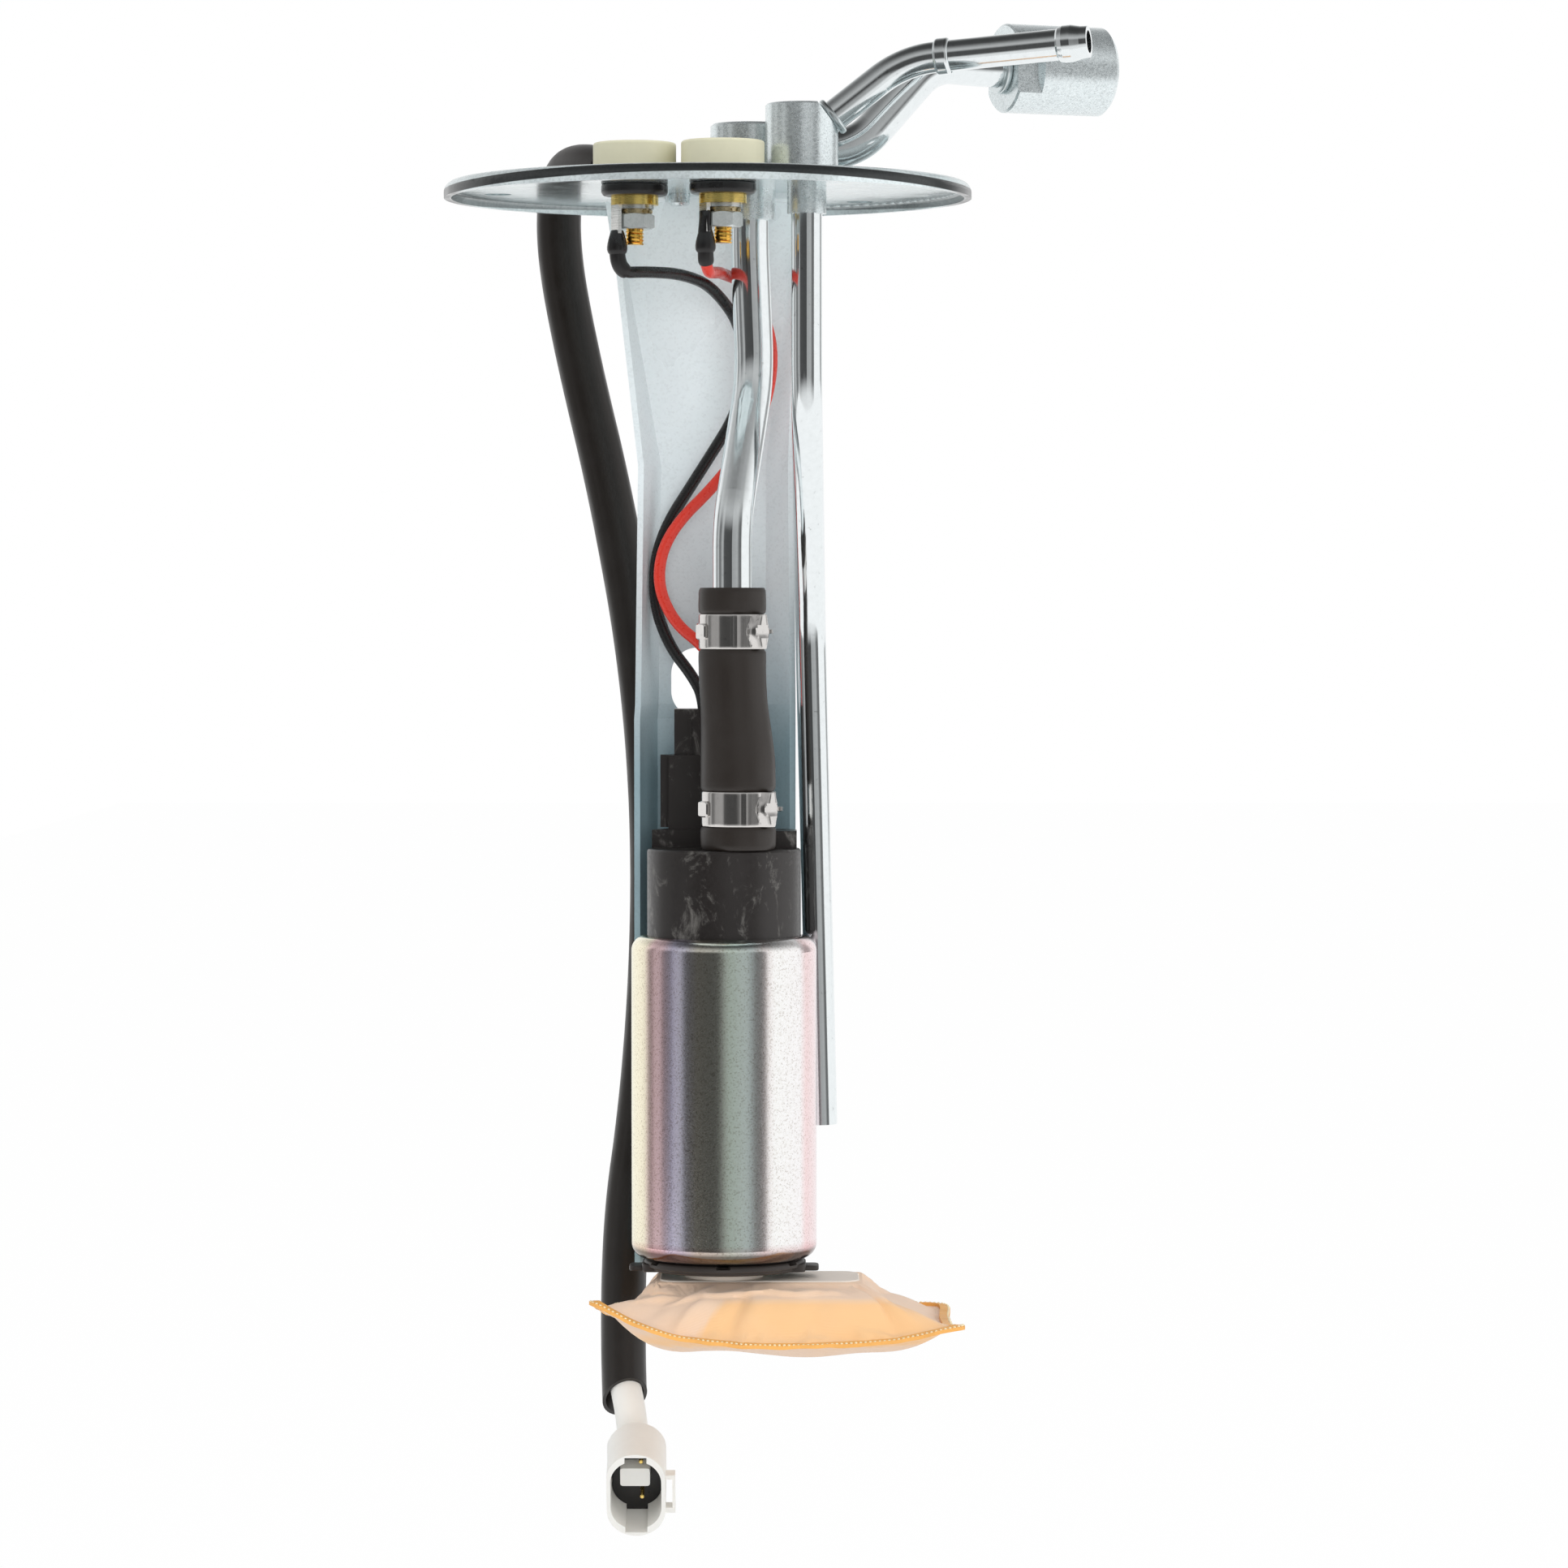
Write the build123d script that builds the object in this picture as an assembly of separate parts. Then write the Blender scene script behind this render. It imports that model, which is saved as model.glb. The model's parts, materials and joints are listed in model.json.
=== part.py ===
from build123d import *
import os
from math import atan2, cos, degrees, pi, radians, sin, tan

# In-tank fuel pump module, millimetres. +Z up, +X towards the fuel line union, +Y to the
# hanger side. The origin is the centre of the flange bolt circle, on the flange underside.

# ---- driving dimensions -------------------------------------------------------------
CLEAR = 0.05  # brazed, glued and pushed-on joints, on radius
GAP = 0.3  # between loose neighbours
RUNNING = 0.03  # rotating fits, on radius
SLIDING = 0.04  # sliding fits, on radius

# flange
FLANGE_R = 54.0
FLANGE_T = 1.5
RIM_DROP = 1.8  # how far the turned-down rim reaches below the sealing face
RIM_BEND = 2.2
BOLT_CIRCLE = 90.0
BOLT_HOLE = 5.5
BOLTS, FIRST_BOLT = 6, 45.5  # count, and where the first one stands, degrees round from +X
RIVET_X, RIVET_Y, RIVET_R = -6.0, 10.0, 2.2  # the rivet that closes the gauge hole

# supply line, 8 mm
SUPPLY_X, SUPPLY_Y = 8.6, 2.0
SUPPLY_OD, TUBE_WALL = 8.0, 0.9
SUPPLY_BOSS_R, SUPPLY_BOSS_TOP = 8.1, 13.6
SUPPLY_TAIL_R, SUPPLY_TAIL_Z = 5.3, -6.0
SUPPLY_PIPE_Z = 8.3
UNION_R, UNION_LEN, UNION_TURN = 9.15, 22.5, 22.5
UNION_FACE = (60.9, 10.2, 25.9)  # centre of the end that the pipe is brazed into
UNION_FLAT, UNION_FLAT_LEN = 7.3, 5.4  # from the axis, and along it
UNION_BORE, UNION_BORE_DEPTH = 12.5, 12.0  # M14 x 1.5 tapping bore

# return line, 6.35 mm
RETURN_X, RETURN_Y = 20.2, -11.0
RETURN_OD = 6.35
RETURN_BOSS_X, RETURN_BOSS_R, RETURN_BOSS_TOP = 19.2, 7.4, 16.6
RETURN_TAIL_R, RETURN_TAIL_Z = 4.0, -5.6
RETURN_END_Z = -192.6
NIPPLE_SLOPE = 38.0  # degrees above the flange where it leaves the boss
NIPPLE_END = (76.8, -21.5, 28.1)
BEAD_R, BEAD_W, BARB_R = 3.75, 3.2, 3.75

# terminals
TERMINALS = ((-14.6, -14.5), (3.3, -20.0))
CAP_R, CAP_H = 8.4, 6.9
STUD_R = 1.65
SEAL_R, SEAL_T = 6.7, 2.3
COLLAR_R, COLLAR_T = 4.8, 1.9
LUG_T, WASHER_R, WASHER_T = 0.8, 3.2, 0.9
NUT_AF, NUT_T = 7.0, 3.1
LUG_TURN = 210.0  # where the lug tongues point, degrees round from +X
STUD_PROUD = 3.1

# pump
PUMP_X, PUMP_Y = 3.3, -3.0
CAN_R, CAN_WALL = 19.0, 1.2
CAN_TOP, CAN_BOTTOM = -152.6, -218.7
CAN_BEND = 3.0
HEAD_R, HEAD_H = 15.75, 17.9
OUTLET_X, OUTLET_Y = 5.1, -11.3  # the lower end of the supply tube
SPIGOT_X = 6.3  # the pump's spigot stands a little aside, and the hose takes up the offset
OUTLET_R, OUTLET_H = 4.6, 21.0
SHAFT_R = 2.0
COMMUTATOR_R = 6.0
ARMATURE_R, MAGNET_T, AIR_GAP = 13.8, 3.0, 0.7
IMPELLER_R, IMPELLER_T, BLADES = 14.0, 3.6, 24
INLET_R = 5.5

# hose and clamps
HOSE_TOP = -81.4
HOSE_R, HOSE_WAIST_R, HOSE_LOW_R = 6.9, 6.75, 7.7
CLAMP_W, CLAMP_T = 7.0, 0.6
CLAMP_UPPER_Z, CLAMP_LOWER_Z = -90.3, -126.3
CLAMP_SQUEEZE = 0.7  # how far each band sinks into the hose

# hanger bracket
SHEET = 1.2
BACK_Y = PUMP_Y + CAN_R + 0.6  # front face of the back wall, just behind the can
FOOT_W, FOOT_FRONT = 22.0, -7.0
WINDOW_W, WINDOW_H, WINDOW_Z = 13.0, 14.5, -101.0

# filter
CUSHION_R, CUSHION_T = 16.5, 3.7
CUSHION_EAR = 19.5
FRAME_X, FRAME_L, FRAME_W, FRAME_T = 10.6, 41.4, 17.6, 2.3
FRAME_NECK_R = 8.0
SOCK_X, SOCK_Y, SOCK_L, SOCK_W = 15.0, -2.0, 70.0, 50.0
SOCK_UP, SOCK_DOWN = 10.3, 5.4  # from the seam to the top and to the bottom
SHOULDER_L, SHOULDER_W, SHOULDER_DROP = 52.0, 40.0, 3.2  # where the bag turns down

# harness
SLEEVE_OD, SLEEVE_WALL = 9.5, 0.7
WIRE_OD, LEAD_OD = 2.2, 2.4
NECK_OD = 6.6
PLUG_TILT = 22.0  # how far the plug's mouth points below the horizontal
PLUG_MOUTH = (-15.2, 8.0, -269.9)
PLUG_W, PLUG_H, PLUG_WALL = 12.2, 19.5, 0.8
PLUG_LEN, PLUG_DEPTH = 13.0, 10.8

SLEEVE_ROUTE = [
    (-21.5, 33.5, 6.6),
    (-28.0, 43.0, 9.3),
    (-32.4, 53.0, 6.0),
    (-33.0, 54.0, -9.0),
    (-28.6, 51.5, -32.0),
    (-21.2, 46.0, -62.0),
    (-14.2, 36.5, -100.0),
    (-11.6, 30.5, -140.0),
    (-13.6, 29.5, -184.0),
    (-19.4, 31.5, -224.0),
    (-18.0, 31.0, -257.5),
]
SLEEVE_CUT = (-18.0, 31.0, -252.5)  # the lower end is cut on a slant through this point
NECK_ROUTE = [
    (-16.3, 25.8, -259.6),
    (-16.9, 27.9, -255.1),
    (-18.37, 31.13, -248.5),
    (-18.6, 31.21, -243.0),
]
BLACK_ROUTE = [
    (-18.06, -16.5, -13.2),
    (-18.06, -16.5, -17.9),
    (-12.3, -12.6, -17.4),
    (-4.9, -4.6, -17.4),
    (1.2, 4.2, -19.6),
    (7.4, 11.4, -28.2),
    (7.2, 12.2, -43.0),
    (-1.6, 12.0, -57.0),
    (-10.6, 11.6, -71.0),
    (-11.6, 11.0, -84.0),
    (-8.2, 9.6, -93.4),
    (-3.4, 7.8, -99.4),
    (-0.9, 6.6, -104.2),
    (-0.9, 6.6, -109.5),
]
RED_ROUTE = [
    (-0.16, -22.0, -13.2),
    (-0.16, -22.0, -18.2),
    (1.9, -13.5, -17.6),
    (2.6, -4.5, -17.1),
    (2.7, 4.5, -16.7),
    (8.4, 10.6, -18.4),
    (13.9, 9.2, -31.0),
    (11.6, 8.6, -46.0),
    (2.6, 8.2, -59.0),
    (-8.2, 8.0, -69.5),
    (-10.9, 7.6, -79.5),
    (-7.4, 7.2, -88.4),
    (-0.4, 6.6, -93.8),
    (2.9, 6.6, -100.4),
    (2.9, 6.6, -109.4),
]
TAIL_ROUTES = (
    [
        (-25.3, 36.9, 7.7),
        (-20.2, 29.5, 6.2),
        (-15.6, 16.5, 5.2),
        (-14.6, 3.0, 4.9),
        (-14.5, -10.0, 4.9),
    ],
    [
        (-23.2, 38.3, 7.7),
        (-17.6, 30.2, 6.2),
        (-8.6, 17.5, 5.2),
        (-3.6, 3.5, 5.0),
        (2.6, -6.5, 4.9),
        (3.3, -15.5, 4.9),
    ],
)

# ---- worked-out sizes ----------------------------------------------------------------
HEAD_TOP = CAN_TOP + HEAD_H
CAN_BORE = CAN_R - CAN_WALL
LUG_Z = -SEAL_T - COLLAR_T  # top of the ring lug
NUT_Z = LUG_Z - LUG_T - WASHER_T
STUD_END = NUT_Z - NUT_T - STUD_PROUD
SEAT_Z = CAN_BOTTOM - GAP  # top of the rubber cushion
FOOT_Z = SEAT_Z - CUSHION_T + 1.0  # underside of the foot
FRAME_TOP = SEAT_Z - CUSHION_T
SOCK_TOP = FRAME_TOP - 0.35
SEAM_Z = SOCK_TOP - SOCK_UP


# ---- small helpers -------------------------------------------------------------------
def rod(x, y, low, high, radius):
    return Pos(x, y, low) * extrude(Circle(radius), high - low)


def pipe(x, y, low, high, outer, inner):
    return rod(x, y, low, high, outer) - rod(x, y, low - 1, high + 1, inner)


def slab(low, high):
    size = [b - a for a, b in zip(low, high)]
    centre = [(a + b) / 2 for a, b in zip(low, high)]
    return Pos(*centre) * Box(*size)


def turned(profile, x=0.0, y=0.0):
    """A body of revolution about the vertical through (x, y); profile is (radius, z) points."""
    face = make_face(Polyline([(r, 0, z) for r, z in profile], close=True))
    return Pos(x, y, 0) * revolve(face, Axis.Z)


def corner_radii(points, share=0.45):
    """The largest arcs that the runs of a route leave room for."""
    radii = []
    for before, at, after in zip(points, points[1:], points[2:]):
        one, two = Vector(*at) - Vector(*before), Vector(*after) - Vector(*at)
        half = radians(one.get_angle(two)) / 2
        radii.append(share * min(one.length, two.length) / tan(half))
    return radii


def route(points, radii=None):
    return FilletPolyline(*points, radius=radii or corner_radii(points))


def along(path, outer, inner=None):
    """A round bar or tube along a path."""
    start = Plane(origin=path @ 0, z_dir=path % 0)
    section = Circle(outer) if inner is None else Circle(outer) - Circle(inner)
    return sweep(start * section, path=path)


def report(name, points, outer, inner=0.0):
    """The bend radii of a cord, and how its volume compares with section times length."""
    path = route(points)
    shape = along(path, outer, inner or None)
    straight = pi * (outer**2 - inner**2) * path.length
    radii = ", ".join(f"{r:.1f}" for r in corner_radii(points))
    print(f"{name}: {path.length:.1f} mm long, radii {radii}; volume x{shape.volume / straight:.4f}")
    return shape


def on_circle(count, radius, start=0.0):
    for i in range(count):
        a = radians(start + 360 * i / count)
        yield radius * cos(a), radius * sin(a)


# ---- flange --------------------------------------------------------------------------
def upright_arc(x, z, radius, first):
    """A quarter arc about (x, z), drawn in the X-Z plane."""
    return Pos(x, 0, z) * Rot(90, 0, 0) * CenterArc((0, 0, 0), radius, first, 90)


def flange_plate():
    """A pressed disc with its rim rolled down, pierced for bolts, terminals and tube tails."""
    top, low = FLANGE_T, -RIM_DROP
    bend_x, bend_z = FLANGE_R - RIM_BEND, FLANGE_T - RIM_BEND
    outline = [
        Line((0, 0, top), (bend_x, 0, top)),
        upright_arc(bend_x, bend_z, RIM_BEND, 0),
        Line((FLANGE_R, 0, bend_z), (FLANGE_R, 0, low)),
        Line((FLANGE_R, 0, low), (FLANGE_R - FLANGE_T, 0, low)),
        Line((FLANGE_R - FLANGE_T, 0, low), (FLANGE_R - FLANGE_T, 0, bend_z)),
        upright_arc(bend_x, bend_z, RIM_BEND - FLANGE_T, 0),
        Line((bend_x, 0, 0), (0, 0, 0)),
        Line((0, 0, 0), (0, 0, top)),
    ]
    plate = revolve(make_face(outline), Axis.Z)
    for x, y in on_circle(BOLTS, BOLT_CIRCLE / 2, FIRST_BOLT):
        plate -= rod(x, y, -1, 3, BOLT_HOLE / 2)
    plate -= rod(SUPPLY_X, SUPPLY_Y, -1, 3, SUPPLY_TAIL_R + CLEAR)
    plate -= rod(RETURN_X, RETURN_Y, -1, 3, RETURN_TAIL_R + CLEAR)
    plate -= rod(RIVET_X, RIVET_Y, -1, 3, RIVET_R / 2 + CLEAR)
    for x, y in TERMINALS:
        plate -= rod(x, y, -1, 3, STUD_R + 1.6)
    return plate


def flange_rivet():
    """A rivet that closes the gauge hole, its dimpled head underneath."""
    head = rod(RIVET_X, RIVET_Y, -2.4, -0.02, RIVET_R)
    head = chamfer(head.edges().group_by(Axis.Z)[0], 0.5)
    head -= rod(RIVET_X, RIVET_Y, -3, -1.6, RIVET_R / 3)
    upset = rod(RIVET_X, RIVET_Y, FLANGE_T + 0.02, FLANGE_T + 0.8, RIVET_R * 0.8)
    return head + rod(RIVET_X, RIVET_Y, -1, FLANGE_T + 0.4, RIVET_R / 2) + upset


# ---- supply side ---------------------------------------------------------------------
def supply_boss():
    boss = rod(SUPPLY_X, SUPPLY_Y, FLANGE_T, SUPPLY_BOSS_TOP, SUPPLY_BOSS_R)
    boss = chamfer(boss.edges().group_by(Axis.Z)[-1], 0.5)
    boss += rod(SUPPLY_X, SUPPLY_Y, SUPPLY_TAIL_Z, FLANGE_T, SUPPLY_TAIL_R)
    bore = SUPPLY_OD / 2
    boss -= rod(SUPPLY_X, SUPPLY_Y, SUPPLY_TAIL_Z - 1, 2.0, bore + CLEAR)
    boss -= rod(SUPPLY_X, SUPPLY_Y, 1.0, SUPPLY_PIPE_Z, bore - TUBE_WALL)
    mouth = Plane(origin=(SUPPLY_X + 2.0, SUPPLY_Y, SUPPLY_PIPE_Z), z_dir=(1, 0, 0))
    boss -= mouth * extrude(Circle(bore + CLEAR), 10)
    inner = Plane(origin=(SUPPLY_X, SUPPLY_Y, SUPPLY_PIPE_Z), z_dir=(1, 0, 0))
    return boss - inner * extrude(Circle(bore - TUBE_WALL), 3)


def union_axis():
    turn = radians(UNION_TURN)
    return Vector(cos(turn), sin(turn), 0)


def supply_pipe():
    axis = union_axis()
    face = Vector(*UNION_FACE)
    points = [
        (SUPPLY_X + 2.5, SUPPLY_Y, SUPPLY_PIPE_Z),
        (30.2, SUPPLY_Y, SUPPLY_PIPE_Z),
        tuple(face - axis * 16.2 + Vector(0, 0, 0.5)),
        tuple(face - axis * 6.0),
        tuple(face + axis * 4.0),
    ]
    path = route(points, [13.0, 9.5, 40.0])
    return along(path, SUPPLY_OD / 2, SUPPLY_OD / 2 - TUBE_WALL)


def union_fitting():
    """A turned coupling with a tapped mouth, two wrench flats and a socket for the pipe."""
    base = Plane(origin=UNION_FACE, x_dir=(0, 0, 1), z_dir=tuple(union_axis()))
    body = extrude(Circle(UNION_R), UNION_LEN)
    body = chamfer(body.edges().group_by(Axis.Z)[0], 0.4)
    body = chamfer(body.edges().group_by(Axis.Z)[-1], 0.8)
    for side in (-1, 1):
        flat = Pos(0, side * (UNION_FLAT + 5), UNION_FLAT_LEN / 2)
        body -= flat * Box(30, 10, UNION_FLAT_LEN + 0.001)
    pipe_r = SUPPLY_OD / 2
    body -= extrude(Circle(pipe_r + CLEAR), 4.2)
    body -= extrude(Circle(pipe_r - TUBE_WALL), UNION_LEN)
    seat = UNION_LEN - UNION_BORE_DEPTH
    body -= Pos(0, 0, seat) * extrude(Circle(UNION_BORE / 2), UNION_BORE_DEPTH)
    cone = Pos(0, 0, seat - 1.2) * Cone(pipe_r - TUBE_WALL, 5.0, 2.4)
    return base * (body - cone)


def supply_tube():
    points = [
        (SUPPLY_X, SUPPLY_Y, 1.8),
        (SUPPLY_X, SUPPLY_Y, -12.0),
        (SUPPLY_X + 1.0, SUPPLY_Y - 0.6, -38.0),
        (OUTLET_X, OUTLET_Y, -68.0),
        (OUTLET_X, OUTLET_Y, HOSE_TOP - 22.0),
    ]
    return along(route(points, [140.0, 32.0, 26.0]), SUPPLY_OD / 2, SUPPLY_OD / 2 - TUBE_WALL)


# ---- return side ---------------------------------------------------------------------
def nipple_points():
    """The nipple's corner, where its sloping and its level stretch would meet, and its ends."""
    slope = radians(NIPPLE_SLOPE)
    rise = 20.8 * tan(slope)
    low = Vector(RETURN_BOSS_X, RETURN_Y, 9.1)
    corner = low + Vector(20.8, -0.6, rise)
    return low, corner, Vector(*NIPPLE_END)


def return_boss():
    low, corner, _ = nipple_points()
    boss = rod(RETURN_BOSS_X, RETURN_Y, FLANGE_T, RETURN_BOSS_TOP, RETURN_BOSS_R)
    boss = chamfer(boss.edges().group_by(Axis.Z)[-1], 0.4)
    lean = (corner - low).normalized()
    face = Plane(origin=tuple(low + lean * 7.2), z_dir=tuple(lean))
    boss -= face * extrude(Rectangle(40, 40), 20)
    boss += rod(RETURN_X, RETURN_Y, RETURN_TAIL_Z, FLANGE_T, RETURN_TAIL_R)
    bore = RETURN_OD / 2
    boss -= rod(RETURN_X, RETURN_Y, RETURN_TAIL_Z - 1, 2.0, bore + CLEAR)
    boss -= rod(RETURN_X, RETURN_Y, 1.0, 9.0, bore - TUBE_WALL)
    socket = Plane(origin=tuple(low + lean * 2.0), z_dir=tuple(lean))
    boss -= socket * extrude(Circle(bore + CLEAR), 20)
    passage = Plane(origin=tuple(low), z_dir=tuple(lean))
    return boss - passage * extrude(Circle(bore - TUBE_WALL), 4)


def ring_on(point, axis, width, outer, inner):
    plane = Plane(origin=tuple(Vector(point) - axis * (width / 2)), z_dir=tuple(axis))
    body = extrude(Circle(outer), width)
    body = fillet(body.edges(), min(0.45 * width, outer - inner) * 0.9)
    return plane * (body - extrude(Circle(inner), width))


def return_nipple():
    """The hose nipple, with a stop bead behind the hose and a barb at the mouth."""
    low, corner, end = nipple_points()
    lean, level = (corner - low).normalized(), (end - corner).normalized()
    path = route([tuple(low + lean * 2.2), tuple(corner), tuple(end)], [20.0])
    bore = RETURN_OD / 2
    nipple = along(path, bore, bore - TUBE_WALL)
    nipple += ring_on(corner + level * 8.1, level, BEAD_W, BEAD_R, bore - 0.3)
    barb_at = Plane(origin=tuple(end - level * 6.4), z_dir=tuple(level))
    profile = [(2.9, 0), (bore, 0), (3.5, 0.4), (BARB_R, 1.3), (BARB_R, 3.0)]
    profile += [(3.3, 4.9), (3.2, 6.4), (2.9, 6.4)]
    barb = revolve(make_face(Polyline(profile, close=True)), Axis.Y)
    return nipple + barb_at * Rot(90, 0, 0) * barb


def braze_fillets():
    """The braze fillets where the nipple leaves its boss and where the pipe meets the union."""
    low, corner, _ = nipple_points()
    lean = (corner - low).normalized()
    axis = union_axis()
    bore, pipe_r = RETURN_OD / 2 + CLEAR, SUPPLY_OD / 2 + CLEAR
    at_boss = ring_on(low + lean * 7.95, lean, 1.4, bore + 0.85, bore)
    at_union = ring_on(Vector(*UNION_FACE) - axis * 0.75, axis, 1.4, pipe_r + 1.3, pipe_r)
    return Compound([at_boss, at_union])


def return_tube():
    points = [
        (RETURN_X, RETURN_Y, 1.8),
        (RETURN_X, RETURN_Y, -40.0),
        (PUMP_X + CAN_R - 1.2, 9.5, -90.0),
        (PUMP_X + CAN_R + 1.2, 9.8, RETURN_END_Z),
    ]
    return along(route(points, [34.0, 34.0]), RETURN_OD / 2, RETURN_OD / 2 - TUBE_WALL)


# ---- terminals -----------------------------------------------------------------------
def terminal_cap(x, y):
    """An ivory moulded insulator that hides the stud head above the flange."""
    body = rod(x, y, FLANGE_T, FLANGE_T + CAP_H, CAP_R)
    body = fillet(body.edges().group_by(Axis.Z)[-1], 0.6)
    hollow = rod(x, y, FLANGE_T - 1, FLANGE_T + CAP_H - 2.0, 4.4)
    back = Plane(origin=(x, y, FLANGE_T + 3.4), z_dir=(0, 1, 0))
    return body - hollow - back * extrude(Circle(WIRE_OD / 2 + 0.6), CAP_R + 1)


def terminal_stud(x, y):
    head = rod(x, y, FLANGE_T + 1.0, FLANGE_T + 3.4, 3.6)
    return head + rod(x, y, STUD_END, FLANGE_T + 1.0, STUD_R)


def terminal_bush(x, y):
    """The insulating bush between the stud and the flange hole."""
    bush = pipe(x, y, -0.3, FLANGE_T + 1.0, STUD_R + 1.4, STUD_R + CLEAR)
    return bush


def hex_nut(x, y, top):
    nut = Pos(x, y, top - NUT_T) * extrude(RegularPolygon(NUT_AF / 2, 6, major_radius=False), NUT_T)
    crown = Pos(x, y, top - NUT_T / 2) * Cone(NUT_AF / 2 + 5.1, NUT_AF / 2 - 0.1, NUT_T)
    crown &= Pos(x, y, top - NUT_T / 2) * Cone(NUT_AF / 2 - 0.1, NUT_AF / 2 + 5.1, NUT_T)
    return (nut & crown) - rod(x, y, top - NUT_T - 1, top + 1, STUD_R + 0.02)


def lug_place(x, y, z=0.0):
    """The frame of a lug: its own x axis is the way its tongue leaves the stud."""
    return Pos(x, y, z) * Rot(0, 0, LUG_TURN)


def ring_lug(x, y):
    """A ring tongue clamped under the collar, its tongue turned down beside a flat of the nut."""
    reach = NUT_AF / 2 + GAP
    lug = rod(0, 0, -LUG_T, 0, COLLAR_R - 0.9)
    lug += slab((2.0, -1.5, -LUG_T), (reach + LUG_T, 1.5, 0))
    lug += slab((reach, -1.5, -5.8), (reach + LUG_T, 1.5, 0))
    lug -= rod(0, 0, -1, 1, STUD_R + 0.15)
    return lug_place(x, y, LUG_Z) * lug


def lug_boot(x, y, lead, covered):
    """A rubber boot over the crimp barrel of a lug, with a narrower collar on the lead.
    A covered lug has the boot drawn up over its tongue as well."""
    top = NUT_Z - NUT_T - GAP
    lead_x, lead_y = lead[0][:2]
    end = lead[1][2] + 2.3
    profile = [(0, top), (1.2, top), (1.5, top - 0.9), (1.95, top - 2.6), (2.0, top - 4.1)]
    profile += [(1.6, top - 4.9), (1.45, top - 5.0), (1.45, end), (0, end)]
    boot = turned(profile, lead_x, lead_y)
    reach = NUT_AF / 2 + GAP
    if covered:
        hood = slab((reach - 0.1, -2.0, -5.6), (reach + LUG_T + 0.7, 2.0, -LUG_T - 0.1))
        boot += lug_place(x, y, LUG_Z) * hood
    slot = slab((reach - CLEAR, -1.55, -5.9), (reach + LUG_T + CLEAR, 1.55, 0))
    boot -= lug_place(x, y, LUG_Z) * slot
    return boot - rod(lead_x, lead_y, end - 1, lead[0][2] + 0.1, LEAD_OD / 2 + CLEAR)


# ---- hanger bracket ------------------------------------------------------------------
def channel(z, left, right, front_left, front_right, back):
    """One cross-section of the hanger: a back wall with two splayed side walls."""
    (lf, lb), (rb, rf) = left, right
    t = SHEET
    points = [
        (lf, front_left),
        (lb, back + t),
        (rb, back + t),
        (rf, front_right),
        (rf - t, front_right),
        (rb - 0.8 * t, back),
        (lb + 0.8 * t, back),
        (lf + t, front_left),
    ]
    return make_face(Polyline([(x, y, z) for x, y in points], close=True))


def hanger_bracket():
    """A pressed channel: wide where it is welded to the flange, narrow beside the hose, with
    a joggle above the pump, a lightening window, and a foot bent under the pump."""
    b = BACK_Y
    stations = [
        channel(-SHEET, (-21.5, -20.2), (23.0, 24.4), b - 1.2, b - 1.2, b),
        channel(-16.0, (-19.2, -17.9), (17.4, 19.0), b - 3.0, b - 2.2, b),
        channel(-56.0, (-14.6, -10.9), (12.8, 17.6), b - 7.1, b - 3.8, b),
        channel(-105.5, (-15.2, -11.5), (12.8, 18.0), b - 8.6, b - 4.0, b - 0.9),
        channel(-108.5, (-15.4, -11.7), (12.9, 18.0), b - 8.6, b - 4.0, b),
        channel(FOOT_Z, (-15.4, -11.7), (12.9, 18.0), b - 8.6, b - 4.0, b),
    ]
    body = None
    for one, two in zip(stations, stations[1:]):
        piece = loft([one, two], ruled=True)
        body = piece if body is None else body + piece
    weld_tab = slab((-19.5, b - 10.0, -SHEET), (-9.0, b + SHEET, 0))
    weld_tab += slab((12.8, b - 10.0, -SHEET), (23.0, b + SHEET, 0))
    weld_tab += slab((-20.2, b, -SHEET), (23.0, b + SHEET, 0))
    opening = RectangleRounded(WINDOW_W, WINDOW_H, WINDOW_W * 0.42)
    window = Pos(-1.4, b, WINDOW_Z) * Rot(90, 0, 0) * extrude(opening, 6, both=True)
    near, far = PUMP_X - FOOT_W / 2, PUMP_X + FOOT_W / 2
    foot = slab((near, FOOT_FRONT, FOOT_Z), (far, b + 0.1, FOOT_Z + SHEET))
    foot -= rod(PUMP_X, PUMP_Y, FOOT_Z - 1, FOOT_Z + 3, FRAME_NECK_R + GAP)
    return body + weld_tab - window + foot


# ---- pump ----------------------------------------------------------------------------
def pump_can():
    """The drawn steel housing, rolled over the outlet head above and the inlet cover below."""
    wall, bend = CAN_WALL, CAN_BEND
    lip_top, lip_low = HEAD_R + 0.15, CAN_BORE - 2.4
    half = [
        Line((lip_top, 0, CAN_TOP), (CAN_R - bend, 0, CAN_TOP)),
        Line((CAN_R, 0, CAN_TOP - bend), (CAN_R, 0, CAN_BOTTOM + bend)),
        Line((CAN_R - bend, 0, CAN_BOTTOM), (lip_low, 0, CAN_BOTTOM)),
        Line((lip_low, 0, CAN_BOTTOM), (lip_low, 0, CAN_BOTTOM + wall)),
        Line((lip_low, 0, CAN_BOTTOM + wall), (CAN_R - bend, 0, CAN_BOTTOM + wall)),
        Line((CAN_BORE, 0, CAN_BOTTOM + bend), (CAN_BORE, 0, CAN_TOP - bend)),
        Line((CAN_R - bend, 0, CAN_TOP - wall), (lip_top, 0, CAN_TOP - wall)),
        Line((lip_top, 0, CAN_TOP - wall), (lip_top, 0, CAN_TOP)),
    ]
    for z, first in ((CAN_TOP - bend, 0), (CAN_BOTTOM + bend, -90)):
        for radius in (bend, bend - wall):
            half.append(upright_arc(CAN_R - bend, z, radius, first))
    shell = revolve(make_face(Wire(half)), Axis.Z)
    return Pos(PUMP_X, PUMP_Y, 0) * shell


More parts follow.
